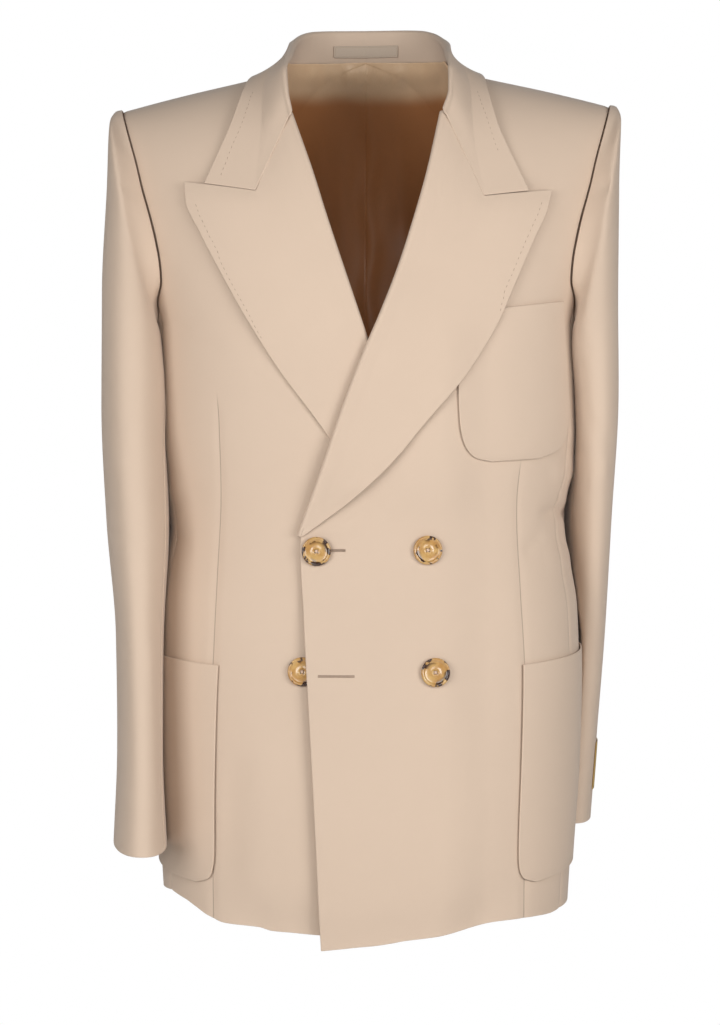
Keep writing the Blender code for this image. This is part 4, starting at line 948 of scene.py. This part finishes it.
def makeWool(name="gabardine", darts=False):
    nodes = Nodes(name, wool["rough"], Sheen_Weight=0.22, Sheen_Roughness=0.45, Specular_IOR_Level=0.25)
    _, u, v = nodes.cut()
    ribs = nodes.math("SINE", (u + v * wool["lean"]) * (2 * math.pi / wool["rib"]))
    fibre = nodes.noise(nodes.place(), wool["fibre"], 1.0)
    tone = nodes.noise(nodes.place(), wool["tone"], 3.0)
    light = ribs * wool["ribTone"] + (fibre - 0.5) * wool["fibreTone"]
    light = light + (tone - 0.5) * wool["cloudTone"] + 0.5
    colour = nodes.mix(light, shade(wool["colour"], uneven["dim"]), shade(wool["colour"], uneven["bright"]))
    height = ribs * wool["ribShare"] + fibre
    if darts:        # the seam of each dart is a fine sunk line, darkened with painted shade
        _, away, along = nodes.cut("dart")
        off = nodes.between(nodes.math("ABSOLUTE", away), 0.0, wool["dart"])
        line = (1 - off) * nodes.between(along, 0.0, wool["dartFade"])
        colour = nodes.mix(line * wool["dartShare"], colour, shade(wool["colour"], wool["dartPaintedShade"]))
        height = height - line * wool["dartDeep"]
    nodes.feed("Base Color", colour)
    nodes.feed("Roughness", (fibre - 0.5) * wool["roughVary"] + wool["rough"])
    nodes.bump(height, wool["ribDeep"], wool["bump"])
    return nodes.material


satin = {"colour": (0.400, 0.165, 0.060), "rough": 0.36, "roughVary": 0.12,
         # lighter towards the neck as painted light, the colour below darkened as painted shade: the lit
         # colour, the heights it runs over, and how uneven that edge is
         "lit": (0.680, 0.470, 0.290), "paintedLightFrom": -0.024, "paintedLightTo": -0.006, "paintedLightVary": 0.012,
         "weave": 0.0005, "slub": (3000.0, 260.0, 1.0), "cloud": 14.0,
         "slubTone": 0.2, "cloudTone": 0.3, "tone": 0.75, "weaveShare": 0.3, "deep": 0.00004, "bump": 0.5}


def makeSatin():
    nodes = Nodes("satin", satin["rough"], Specular_IOR_Level=0.5, Sheen_Weight=0.1, Anisotropic=0.4)
    at, u, _ = nodes.cut()
    weave = nodes.math("SINE", u * (2 * math.pi / satin["weave"]))
    slub = nodes.noise(nodes.node("ShaderNodeMapping", {}, {"Vector": at, "Scale": satin["slub"]}), 1.0, 2.0)
    cloud = nodes.noise(nodes.place(), satin["cloud"], 3.0)
    height = nodes.node("ShaderNodeSeparateXYZ", {}, {0: nodes.place()}, 2)
    # painted light above these heights and painted shade below them, mixed into the lining's colour
    lit = nodes.between(height + (cloud - 0.5) * satin["paintedLightVary"], satin["paintedLightFrom"], satin["paintedLightTo"])
    tone = nodes.mix(lit, shade(satin["colour"], 1.0), shade(satin["lit"], 1.0))
    light = slub * satin["slubTone"] + cloud * satin["cloudTone"] + satin["tone"]
    colour = nodes.node("ShaderNodeVectorMath", {"operation": "SCALE"}, {0: tone, "Scale": light})
    nodes.feed("Base Color", colour)
    nodes.feed("Roughness", (slub - 0.5) * satin["roughVary"] + satin["rough"])
    nodes.bump(weave * satin["weaveShare"] + slub, satin["deep"], satin["bump"])
    return nodes.material


horn = {"pale": (0.545, 0.335, 0.120), "warm": (0.440, 0.230, 0.070), "dark": (0.035, 0.010, 0.004),
        "rough": 0.22, "roughVary": 0.1, "coat": 0.35, "cloud": (110.0, 3.0, 0.6), "cloudOver": (0.35, 0.68),
        "spots": (150.0, 2.0, 0.45), "spotsOver": (0.53, 0.60), "rim": (0.45, 0.80),
        "first": 0.1, "next": 0.31,        # each button shows another part of the horn
        "drift": 0.3, "deep": 0.00005, "bump": 0.3}


def makeHorn(name="horn", turn=0.0):
    nodes = Nodes(name, horn["rough"], Coat_Roughness=0.08, IOR=1.54, Specular_IOR_Level=0.6)
    _, _, out = nodes.cut()
    cloud = nodes.noise(nodes.place(), *horn["cloud"])
    moved = {"Vector": nodes.place(), "Location": (turn, horn["drift"] * turn, turn)}
    spots = nodes.noise(nodes.node("ShaderNodeMapping", {}, moved), *horn["spots"])
    rim = nodes.between(out, *horn["rim"])
    dark = nodes.between(spots, *horn["spotsOver"]) * rim
    colour = nodes.mix(nodes.between(cloud, *horn["cloudOver"]), (*horn["warm"], 1.0), (*horn["pale"], 1.0))
    nodes.feed("Base Color", nodes.mix(dark, colour, (*horn["dark"], 1.0)))
    nodes.feed("Roughness", (cloud - 0.5) * horn["roughVary"] + horn["rough"])
    nodes.shader.inputs["Coat Weight"].default_value = horn["coat"]
    nodes.bump(cloud, horn["deep"], horn["bump"])
    return nodes.material


ribbon = {"rough": 0.6, "cord": 0.0007, "warp": 0.0006, "fuzz": 1800.0, "cordTone": 0.2, "fuzzTone": 0.5,
          "tone": 0.2, "lineSoft": 0.0003, "cordDeep": 0.5, "warpDeep": 0.4, "deep": 0.00005, "bump": 0.6}


def makeRibbon(name, colour, edge, line):        # a woven strip, with a darker line inside its edge
    nodes = Nodes(name, ribbon["rough"], Sheen_Weight=0.15)
    _, u, v = nodes.cut()
    cord = nodes.math("SINE", v * (2 * math.pi / ribbon["cord"]))
    warp = nodes.math("SINE", u * (2 * math.pi / ribbon["warp"]))
    fuzz = nodes.noise(nodes.place(), ribbon["fuzz"], 1.0)
    light = cord * ribbon["cordTone"] + fuzz * ribbon["fuzzTone"] + ribbon["tone"]
    plain = nodes.mix(light, shade(colour, uneven["dim"]), shade(colour, uneven["bright"]))
    _, fromEdge, _ = nodes.cut("margin")
    inside = nodes.between(fromEdge, line[0], line[0] + ribbon["lineSoft"])
    border = inside * (1 - nodes.between(fromEdge, line[1] - ribbon["lineSoft"], line[1]))
    nodes.feed("Base Color", nodes.mix(border, plain, shade(edge, 1.0)))
    nodes.bump(cord * ribbon["cordDeep"] + warp * ribbon["warpDeep"] + fuzz, ribbon["deep"], ribbon["bump"])
    return nodes.material


yarn = {"rough": 0.6, "fuzz": 3500.0, "dim": 0.8, "bright": 1.2, "deep": 0.00004, "bump": 0.5}


def makeThread(name, colour):
    nodes = Nodes(name, yarn["rough"], Sheen_Weight=0.2)
    fuzz = nodes.noise(nodes.place(), yarn["fuzz"], 1.0)
    nodes.feed("Base Color", nodes.mix(fuzz, shade(colour, yarn["dim"]), shade(colour, yarn["bright"])))
    nodes.bump(fuzz, yarn["deep"], yarn["bump"])
    return nodes.material


paper = {"rough": 0.9, "speck": 3.0, "dim": (0.93, 0.93, 0.93, 1.0), "bright": (0.96, 0.96, 0.96, 1.0)}


def makePaper():
    nodes = Nodes("paper", paper["rough"])
    speck = nodes.noise(nodes.place(), paper["speck"], 2.0)
    nodes.feed("Base Color", nodes.mix(speck, paper["dim"], paper["bright"]))
    return nodes.material


# buttons

buttons = {
    # centre (x, z) and the front that each lies on
    "button_upper_right": (-0.0414, -0.4124, "left"), "button_upper_left": (0.0510, -0.4114, "left"),
    "button_lower_left": (0.0570, -0.5139, "left"), "button_lower_right": (-0.0538, -0.5136, "right"),
}
buttonShape = {
    "shank": 0.0007, "segments": 72, "rows": 54, "radius": 0.0123, "sharp": math.radians(50),
    "holes": 4, "holeAt": 0.00150, "hole": 0.00068, "drillSides": 16,
    "drill": (-0.002, -0.0019, 0.0059, 0.006),
    # the sewn cross: how far apart its strands lie, how they close up, arch and dive into the holes
    "thread": 0.00030, "strands": (-0.0004, 0.0, 0.0004), "strandSteps": 17, "close": 0.4,
    "rise": 0.0016, "arch": 0.0010, "over": 0.0003, "dive": (0.0000, 0.0012, 0.0012, 0.0000),
    # the wound stem
    "stem": 0.0011, "stemTop": 0.0004, "winds": 10, "windSteps": 120,
    # radius, height above the back of the button
    "profile": ((0.0004, 0.0000), (0.0060, 0.0000), (0.0106, 0.0000), (0.0116, 0.0004), (0.0122, 0.0012),
                (0.0123, 0.0019), (0.0119, 0.0027), (0.0112, 0.0031), (0.0104, 0.0030), (0.0096, 0.0024),
                (0.0089, 0.0020), (0.0076, 0.0018), (0.0062, 0.0017), (0.0048, 0.0018), (0.0036, 0.0021),
                (0.0031, 0.0021), (0.0024, 0.0017), (0.0004, 0.0016)),
}


def join(parts):        # one mesh from several lists of points and quads
    points, quads, uvs, first = [], [], [], 0
    for p, q, uv in parts:
        points.append(p)
        quads.append(q + first)
        uvs.append(uv)
        first += len(p)
    return np.concatenate(points), np.concatenate(quads), np.concatenate(uvs)


def closedRings(rows, sides):        # quads round a stack of rings, and over its two ends
    index = np.arange(rows * sides).reshape(rows, sides)
    after = np.roll(index, -1, axis=1)
    around = np.stack([index[:-1], after[:-1], after[1:], index[1:]], axis=-1).reshape(-1, 4)
    return np.concatenate([around, fillRing(index[0, ::-1]), fillRing(index[-1])])


def fillRing(ring):        # quads over a ring of points, in strips from one side to the other
    last = len(ring) - 1
    quads = [(ring[k], ring[k + 1], ring[last - 1 - k], ring[last - k]) for k in range(len(ring) // 2 - 1)]
    return np.array(quads)


# any way across, and how thin its ends are
thread = {"guide": (0.31, 0.47, 0.83), "end": 0.05, "sides": 8}


def tube(path, radius, sides=thread["sides"]):        # a closed round thread along a path
    path = np.asarray(path, float)
    along = unit(np.gradient(path, axis=0))
    guide = np.tile(thread["guide"], (len(path), 1))
    a = unit(np.cross(along, guide))
    b = np.cross(along, a)
    turn = np.linspace(0, 2 * math.pi, sides, endpoint=False)
    taper = np.ones(len(path))
    taper[[0, -1]] = thread["end"]
    rings = path[:, None] + radius * taper[:, None, None] * (
        np.cos(turn)[None, :, None] * a[:, None] + np.sin(turn)[None, :, None] * b[:, None])
    u = np.broadcast_to(runs(path[:, None], 0), (len(path), sides))
    return rings.reshape(-1, 3), closedRings(len(path), sides), np.stack([u, u * 0], axis=-1).reshape(-1, 2)


def buttonBlank(material):        # the turned disc with its four holes, at the origin
    at = np.linspace(0, 1, buttonShape["rows"])
    profile = through(buttonShape["profile"], at)
    turn = np.linspace(0, 2 * math.pi, buttonShape["segments"], endpoint=False)
    points = np.stack([profile[:, :1] * np.cos(turn), profile[:, :1] * np.sin(turn),
                       profile[:, 1:2] + 0 * turn], axis=-1)
    uv = np.stack([turn[None, :] / (2 * math.pi) + 0 * at[:, None],
                   profile[:, :1] / buttonShape["radius"] + 0 * turn[None, :]], axis=-1)
    quads = closedRings(len(at), len(turn))
    blank = makeMesh("blank", points.reshape(-1, 3), quads, uv.reshape(-1, 2), material)
    cutters = []
    for k in range(buttonShape["holes"]):
        a = math.pi / 4 + k * math.pi / 2
        x, y = buttonShape["holeAt"] * math.cos(a), buttonShape["holeAt"] * math.sin(a)
        cutters.append(tube([(x, y, z) for z in buttonShape["drill"]], buttonShape["hole"],
                            buttonShape["drillSides"]))
    drill = makeMesh("drill", *join(cutters), material)
    cut = blank.modifiers.new("holes", "BOOLEAN")
    cut.operation, cut.object = "DIFFERENCE", drill
    made = bpy.data.meshes.new_from_object(blank.evaluated_get(bpy.context.evaluated_depsgraph_get()))
    for spent in (blank, drill):
        bpy.data.objects.remove(spent)
    return made


def buttonThread():        # two crossed bundles and the stem under the button, at the origin
    parts = []
    t = np.linspace(-1, 1, buttonShape["strandSteps"])
    for a, upper in ((math.pi / 4, 0), (3 * math.pi / 4, buttonShape["over"])):
        across, along = np.array([-math.sin(a), math.cos(a), 0]), np.array([math.cos(a), math.sin(a), 0])
        for shift in buttonShape["strands"]:
            rise = buttonShape["rise"] + buttonShape["arch"] * (1 - t**4) + upper
            rise[[0, 1, -2, -1]] = buttonShape["dive"]
            path = along * (buttonShape["holeAt"] * t)[:, None]
            path = path + across * shift * (1 - buttonShape["close"] * t[:, None] ** 2)
            path = path + np.array([0, 0, 1.0]) * rise[:, None]
            parts.append(tube(path, buttonShape["thread"]))
    turn = np.linspace(0, buttonShape["winds"] * 2 * math.pi, buttonShape["windSteps"])
    height = np.interp(turn, turn[[0, -1]], [-buttonShape["shank"], buttonShape["stemTop"]])
    coil = np.stack([buttonShape["stem"] * np.cos(turn), buttonShape["stem"] * np.sin(turn), height], axis=-1)
    parts.append(tube(coil, buttonShape["thread"]))
    return join(parts)


def makeButtons(sewnWith):
    points, quads, uvs = buttonThread()
    for number, (name, (x, z, hand)) in enumerate(buttons.items()):
        blank = buttonBlank(makeHorn("horn_" + name, horn["next"] * number + horn["first"]))
        own = x if hand == "left" else -x
        beside, over = np.array([[0, 1e-3, 0], [0, 0, 1e-3]])        # a millimetre to the side and up
        spots = onFront(own + beside, z + over, 0.0, hand)[0]
        normal = unit(np.cross(spots[1] - spots[0], spots[2] - spots[0]))
        place = spots[0] + normal * (cloth["panel"] / 2 + buttonShape["shank"])
        if hand == "right":
            place, normal = place * [-1, 1, 1], normal * [-1, 1, 1]
        across = unit(np.cross([0, 0, 1], normal))
        frameAt = np.stack([across, np.cross(normal, across), normal])
        corner = np.array([v.co for v in blank.vertices]) @ frameAt + place
        blank.vertices.foreach_set("co", settle(corner).astype(np.float32).ravel())
        blank.name = name + "_horn"
        blank.update()
        blank.set_sharp_from_angle(angle=buttonShape["sharp"])
        piece = link(bpy.data.objects.new(name + "_horn", blank))
        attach(piece, "root")
        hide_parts(name)
        sewn = makeMesh(name + "_thread", settle(points @ frameAt + place), quads, uvs, sewnWith)
        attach(sewn, "root")
    print("buttons done")


# stitches, by Geometry Nodes along lines drawn on the cloth

stitches = {
    # distance between stitches, their size, their turn across the line, how uneven their length is
    "pick": {"Pitch": 0.0050, "Length": 0.0026, "Width": 0.00050, "Height": 0.00036, "Turn": 0.0,
             "Uneven": 0.25},
    "whip": {"Pitch": 0.00042, "Length": 0.0013, "Width": 0.00042, "Height": 0.00042, "Turn": math.pi / 2,
             "Uneven": 0.10},
}


def stitchTree(material):
    tree = bpy.data.node_groups.new("stitches_" + material.name, "GeometryNodeTree")
    tree.interface.new_socket("Geometry", in_out="INPUT", socket_type="NodeSocketGeometry")
    for name in stitches["pick"]:
        tree.interface.new_socket(name, in_out="INPUT", socket_type="NodeSocketFloat")
    tree.interface.new_socket("Geometry", in_out="OUTPUT", socket_type="NodeSocketGeometry")

    def add(kind, settings=None, **links):
        made = tree.nodes.new(kind)
        for name, value in (settings or {}).items():
            setattr(made, name, value)
        for name, value in links.items():
            numbered = name[0] == "i" and name[1:].isdigit()
            socket = made.inputs[int(name[1:]) if numbered else name]
            if isinstance(value, bpy.types.NodeSocket):
                tree.links.new(value, socket)
            else:
                socket.default_value = value
        return made.outputs

    given = add("NodeGroupInput")
    line = add("GeometryNodeMeshToCurve", None, Mesh=given["Geometry"])[0]
    evenly = add("GeometryNodeResampleCurve", {"mode": "LENGTH"}, Curve=line, Length=given["Pitch"])[0]
    up = add("GeometryNodeInputNamedAttribute", {"data_type": "FLOAT_VECTOR"}, Name="up")[0]
    tangent = add("GeometryNodeInputTangent")[0]
    stand = add("FunctionNodeAlignRotationToVector", {"axis": "Z"}, Vector=up)[0]
    level = {"axis": "X", "pivot_axis": "Z"}
    faced = add("FunctionNodeAlignRotationToVector", level, Rotation=stand, Vector=tangent)[0]
    spin = add("ShaderNodeCombineXYZ", None, Z=given["Turn"])[0]
    spun = add("FunctionNodeEulerToRotation", None, Euler=spin)[0]
    turned = add("FunctionNodeRotateRotation", {"rotation_space": "LOCAL"}, Rotation=faced, i1=spun)[0]
    chance = add("FunctionNodeRandomValue", {"data_type": "FLOAT"}, i2=-1.0, i3=1.0, Seed=7)[1]
    vary = add("ShaderNodeMath", {"operation": "MULTIPLY_ADD"}, i0=chance, i1=given["Uneven"], i2=1.0)[0]
    long = add("ShaderNodeMath", {"operation": "MULTIPLY"}, i0=given["Length"], i1=vary)[0]
    size = add("ShaderNodeCombineXYZ", None, X=long, Y=given["Width"], Z=given["Height"])[0]
    bead = add("GeometryNodeMeshUVSphere", None, Segments=8, Rings=6, Radius=0.5)[0]
    placed = add("GeometryNodeInstanceOnPoints", None, Points=evenly, Instance=bead, Rotation=turned,
                 Scale=size)[0]
    real = add("GeometryNodeRealizeInstances", None, Geometry=placed)[0]
    smooth = add("GeometryNodeSetShadeSmooth", None, Geometry=real)[0]
    done = add("GeometryNodeSetMaterial", None, Geometry=smooth, Material=material)[0]
    out = tree.nodes.new("NodeGroupOutput")
    tree.links.new(done, out.inputs["Geometry"])
    return tree


def makeStitches(name, lines, kind, material):        # each line is points and the way up from the cloth
    points = np.concatenate([settle(p) for p, _ in lines])
    ups = np.concatenate([n for _, n in lines])
    edges, first = [], 0
    for p, _ in lines:
        edges += [(first + k, first + k + 1) for k in range(len(p) - 1)]
        first += len(p)
    mesh = bpy.data.meshes.new(name)
    mesh.from_pydata([tuple(p) for p in points], edges, [])
    attribute = mesh.attributes.new("up", "FLOAT_VECTOR", "POINT")
    attribute.data.foreach_set("vector", ups.astype(np.float32).ravel())
    guide = link(bpy.data.objects.new(name + "_line", mesh))
    tree = stitchTree(material)
    sockets = {s.name: s.identifier for s in tree.interface.items_tree if s.in_out == "INPUT"}
    modifier = guide.modifiers.new("stitches", "NODES")
    modifier.node_group = tree
    for label, value in stitches[kind].items():
        modifier[sockets[label]] = value
    made = bpy.data.meshes.new_from_object(guide.evaluated_get(bpy.context.evaluated_depsgraph_get()))
    made.name = name
    guide.modifiers.clear()
    bpy.data.objects.remove(guide)
    piece = link(bpy.data.objects.new(name, made))
    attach(piece, "root")
    print(name, len(made.polygons), "faces")


sewing = {
    # rows of stitches (x, z) on the collar and the lapels, along their edges
    "collar": {"right": ((0.0970, -0.0229), (0.1047, -0.0494), (0.1127, -0.0693), (0.1221, -0.0944)),
               "left": ((0.0948, -0.0253), (0.1012, -0.0461), (0.1064, -0.0633), (0.1103, -0.0760))},
    "lapel": {"right": ((0.1428, -0.1204), (0.1370, -0.1360), (0.1270, -0.1559), (0.1143, -0.1840),
                        (0.1032, -0.2037), (0.0880, -0.2317)),
              "left": ((0.1477, -0.1211), (0.1390, -0.1405), (0.1304, -0.1598), (0.1219, -0.1805),
                       (0.1163, -0.1929), (0.1121, -0.2094))},
    # both sides of each buttonhole: from x to x, z
    "holes": ((-0.0400, -0.0176, -0.4110), (-0.0400, -0.0176, -0.4122), (-0.0400, -0.0100, -0.5165),
              (-0.0400, -0.0100, -0.5176)),
    "points": 60, "near": 1e-7, "holePoints": 30,
}


def onPiece(grid, line):        # points over the cloth and the way up, from the nearest points of the piece
    spots = through(line, np.linspace(0, 1, sewing["points"]))
    flat, up = grid.reshape(-1, 3), gridNormals(grid).reshape(-1, 3)
    up = up * np.sign(-up[:, 1:2])
    away = ((spots[:, None] - flat[None][..., [0, 2]]) ** 2).sum(-1)
    weight = 1 / (away + sewing["near"]) ** 2
    weight /= weight.sum(1, keepdims=True)
    up = unit(weight @ up)
    return weight @ flat + up * cloth["skin"] / 2, up


def makeSewing(collarRows, sewnWith):
    rows = []
    for hand in ("right", "left"):
        turn = [-1 if hand == "right" else 1, 1, 1]
        for kind, grid in (("collar", collarRows * turn), ("lapel", lapelGrid(hand))):
            points, up = onPiece(grid, sewing[kind][hand])
            rows.append((points * turn, up * turn))
    makeStitches("pick_stitches", rows, "pick", sewnWith)
    count = sewing["holePoints"]
    holes = [onFront(np.linspace(x0, x1, count), np.full(count, z), cloth["panel"] / 2, "left")
             for x0, x1, z in sewing["holes"]]
    makeStitches("buttonhole_stitches", holes, "whip", sewnWith)


# putting it together

gabardine = makeWool()
gabardineDarts = makeWool("gabardine_darts", True)
lustre = makeSatin()
# colour, colour of the line, where the line runs from the edge
paleRibbon = makeRibbon("ribbon", (0.50, 0.40, 0.31), (0.36, 0.27, 0.19), (0.0006, 0.0011))
goldRibbon = makeRibbon("gold_ribbon", (0.50, 0.31, 0.075), (0.05, 0.025, 0.012), (0.0008, 0.0018))
threadPale = makeThread("thread_pale", (0.62, 0.45, 0.34))
threadWool = makeThread("thread_wool", (0.32, 0.225, 0.165))

makeBody(gabardine, gabardineDarts)
makeLapels(gabardine)
collarRows = makeCollar(gabardine)
makePockets(gabardine)
makeSleeves(gabardine)
makeLining(lustre)
makeLabels(collarRows, paleRibbon, goldRibbon)
makeButtons(threadPale)
makeSewing(collarRows, threadWool)
print("pieces done")

# camera, light and floor

stage = {"cameraAt": (-0.0053, -2.2, -0.243), "aim": (-0.0053, 0.0, -0.387), "lens": 87.1, "sensor": 36.0,
         "floor": -1.45, "floorHalf": 2.0, "floorSides": 64, "lampAim": (0, 0, -0.4),
         "sky": 1.0, "skyColour": (1.0, 0.985, 0.965, 1.0), "skyLight": 0.11,
         # place, size, power
         "lamps": {"window_left": ((-1.2, -1.6, -0.12), 1.0, 20.5), "window_right": ((1.3, -1.55, -0.12), 1.0,
                                                                                     23.5),
                   "front_fill": ((0.05, -1.9, 0.30), 0.8, 9.0), "back_fill": ((0.3, 2.1, -0.25), 1.2, 9.0)}}


def turnTo(made, place, aim):
    made.location = place
    made.rotation_euler = (Vector(aim) - Vector(place)).to_track_quat("-Z", "Y").to_euler()


camera = link(bpy.data.objects.new("camera", bpy.data.cameras.new("camera")))
camera.data.lens = stage["lens"]
camera.data.sensor_width = stage["sensor"]
turnTo(camera, stage["cameraAt"], stage["aim"])
bpy.context.scene.camera = camera

turn = np.linspace(0, 2 * math.pi, stage["floorSides"], endpoint=False)
rim = np.stack([np.cos(turn), np.sin(turn), 0 * turn], axis=-1) * stage["floorHalf"]
slices = fillRing(np.arange(len(turn)))
floor = makeMesh("floor", rim + [0, 0, stage["floor"]], slices, rim[:, :2], makePaper())

world = bpy.data.worlds.new("studio")
world.use_nodes = True
sky = world.node_tree
seen = sky.nodes["Background"]
seen.inputs["Color"].default_value = (1.0, 1.0, 1.0, 1.0)
seen.inputs["Strength"].default_value = stage["sky"]
lit = sky.nodes.new("ShaderNodeBackground")
lit.inputs["Color"].default_value = stage["skyColour"]
lit.inputs["Strength"].default_value = stage["skyLight"]
either = sky.nodes.new("ShaderNodeMixShader")
sky.links.new(sky.nodes.new("ShaderNodeLightPath").outputs["Is Camera Ray"], either.inputs[0])
sky.links.new(lit.outputs[0], either.inputs[1])
sky.links.new(seen.outputs[0], either.inputs[2])
sky.links.new(either.outputs[0], sky.nodes["World Output"].inputs["Surface"])
bpy.context.scene.world = world
for name, (at, size, power) in stage["lamps"].items():
    light = bpy.data.lights.new(name, "AREA")
    light.size, light.energy = size, power
    turnTo(link(bpy.data.objects.new(name, light)), at, stage["lampAim"])
bpy.context.scene.view_settings.view_transform = "Standard"

print("all done")
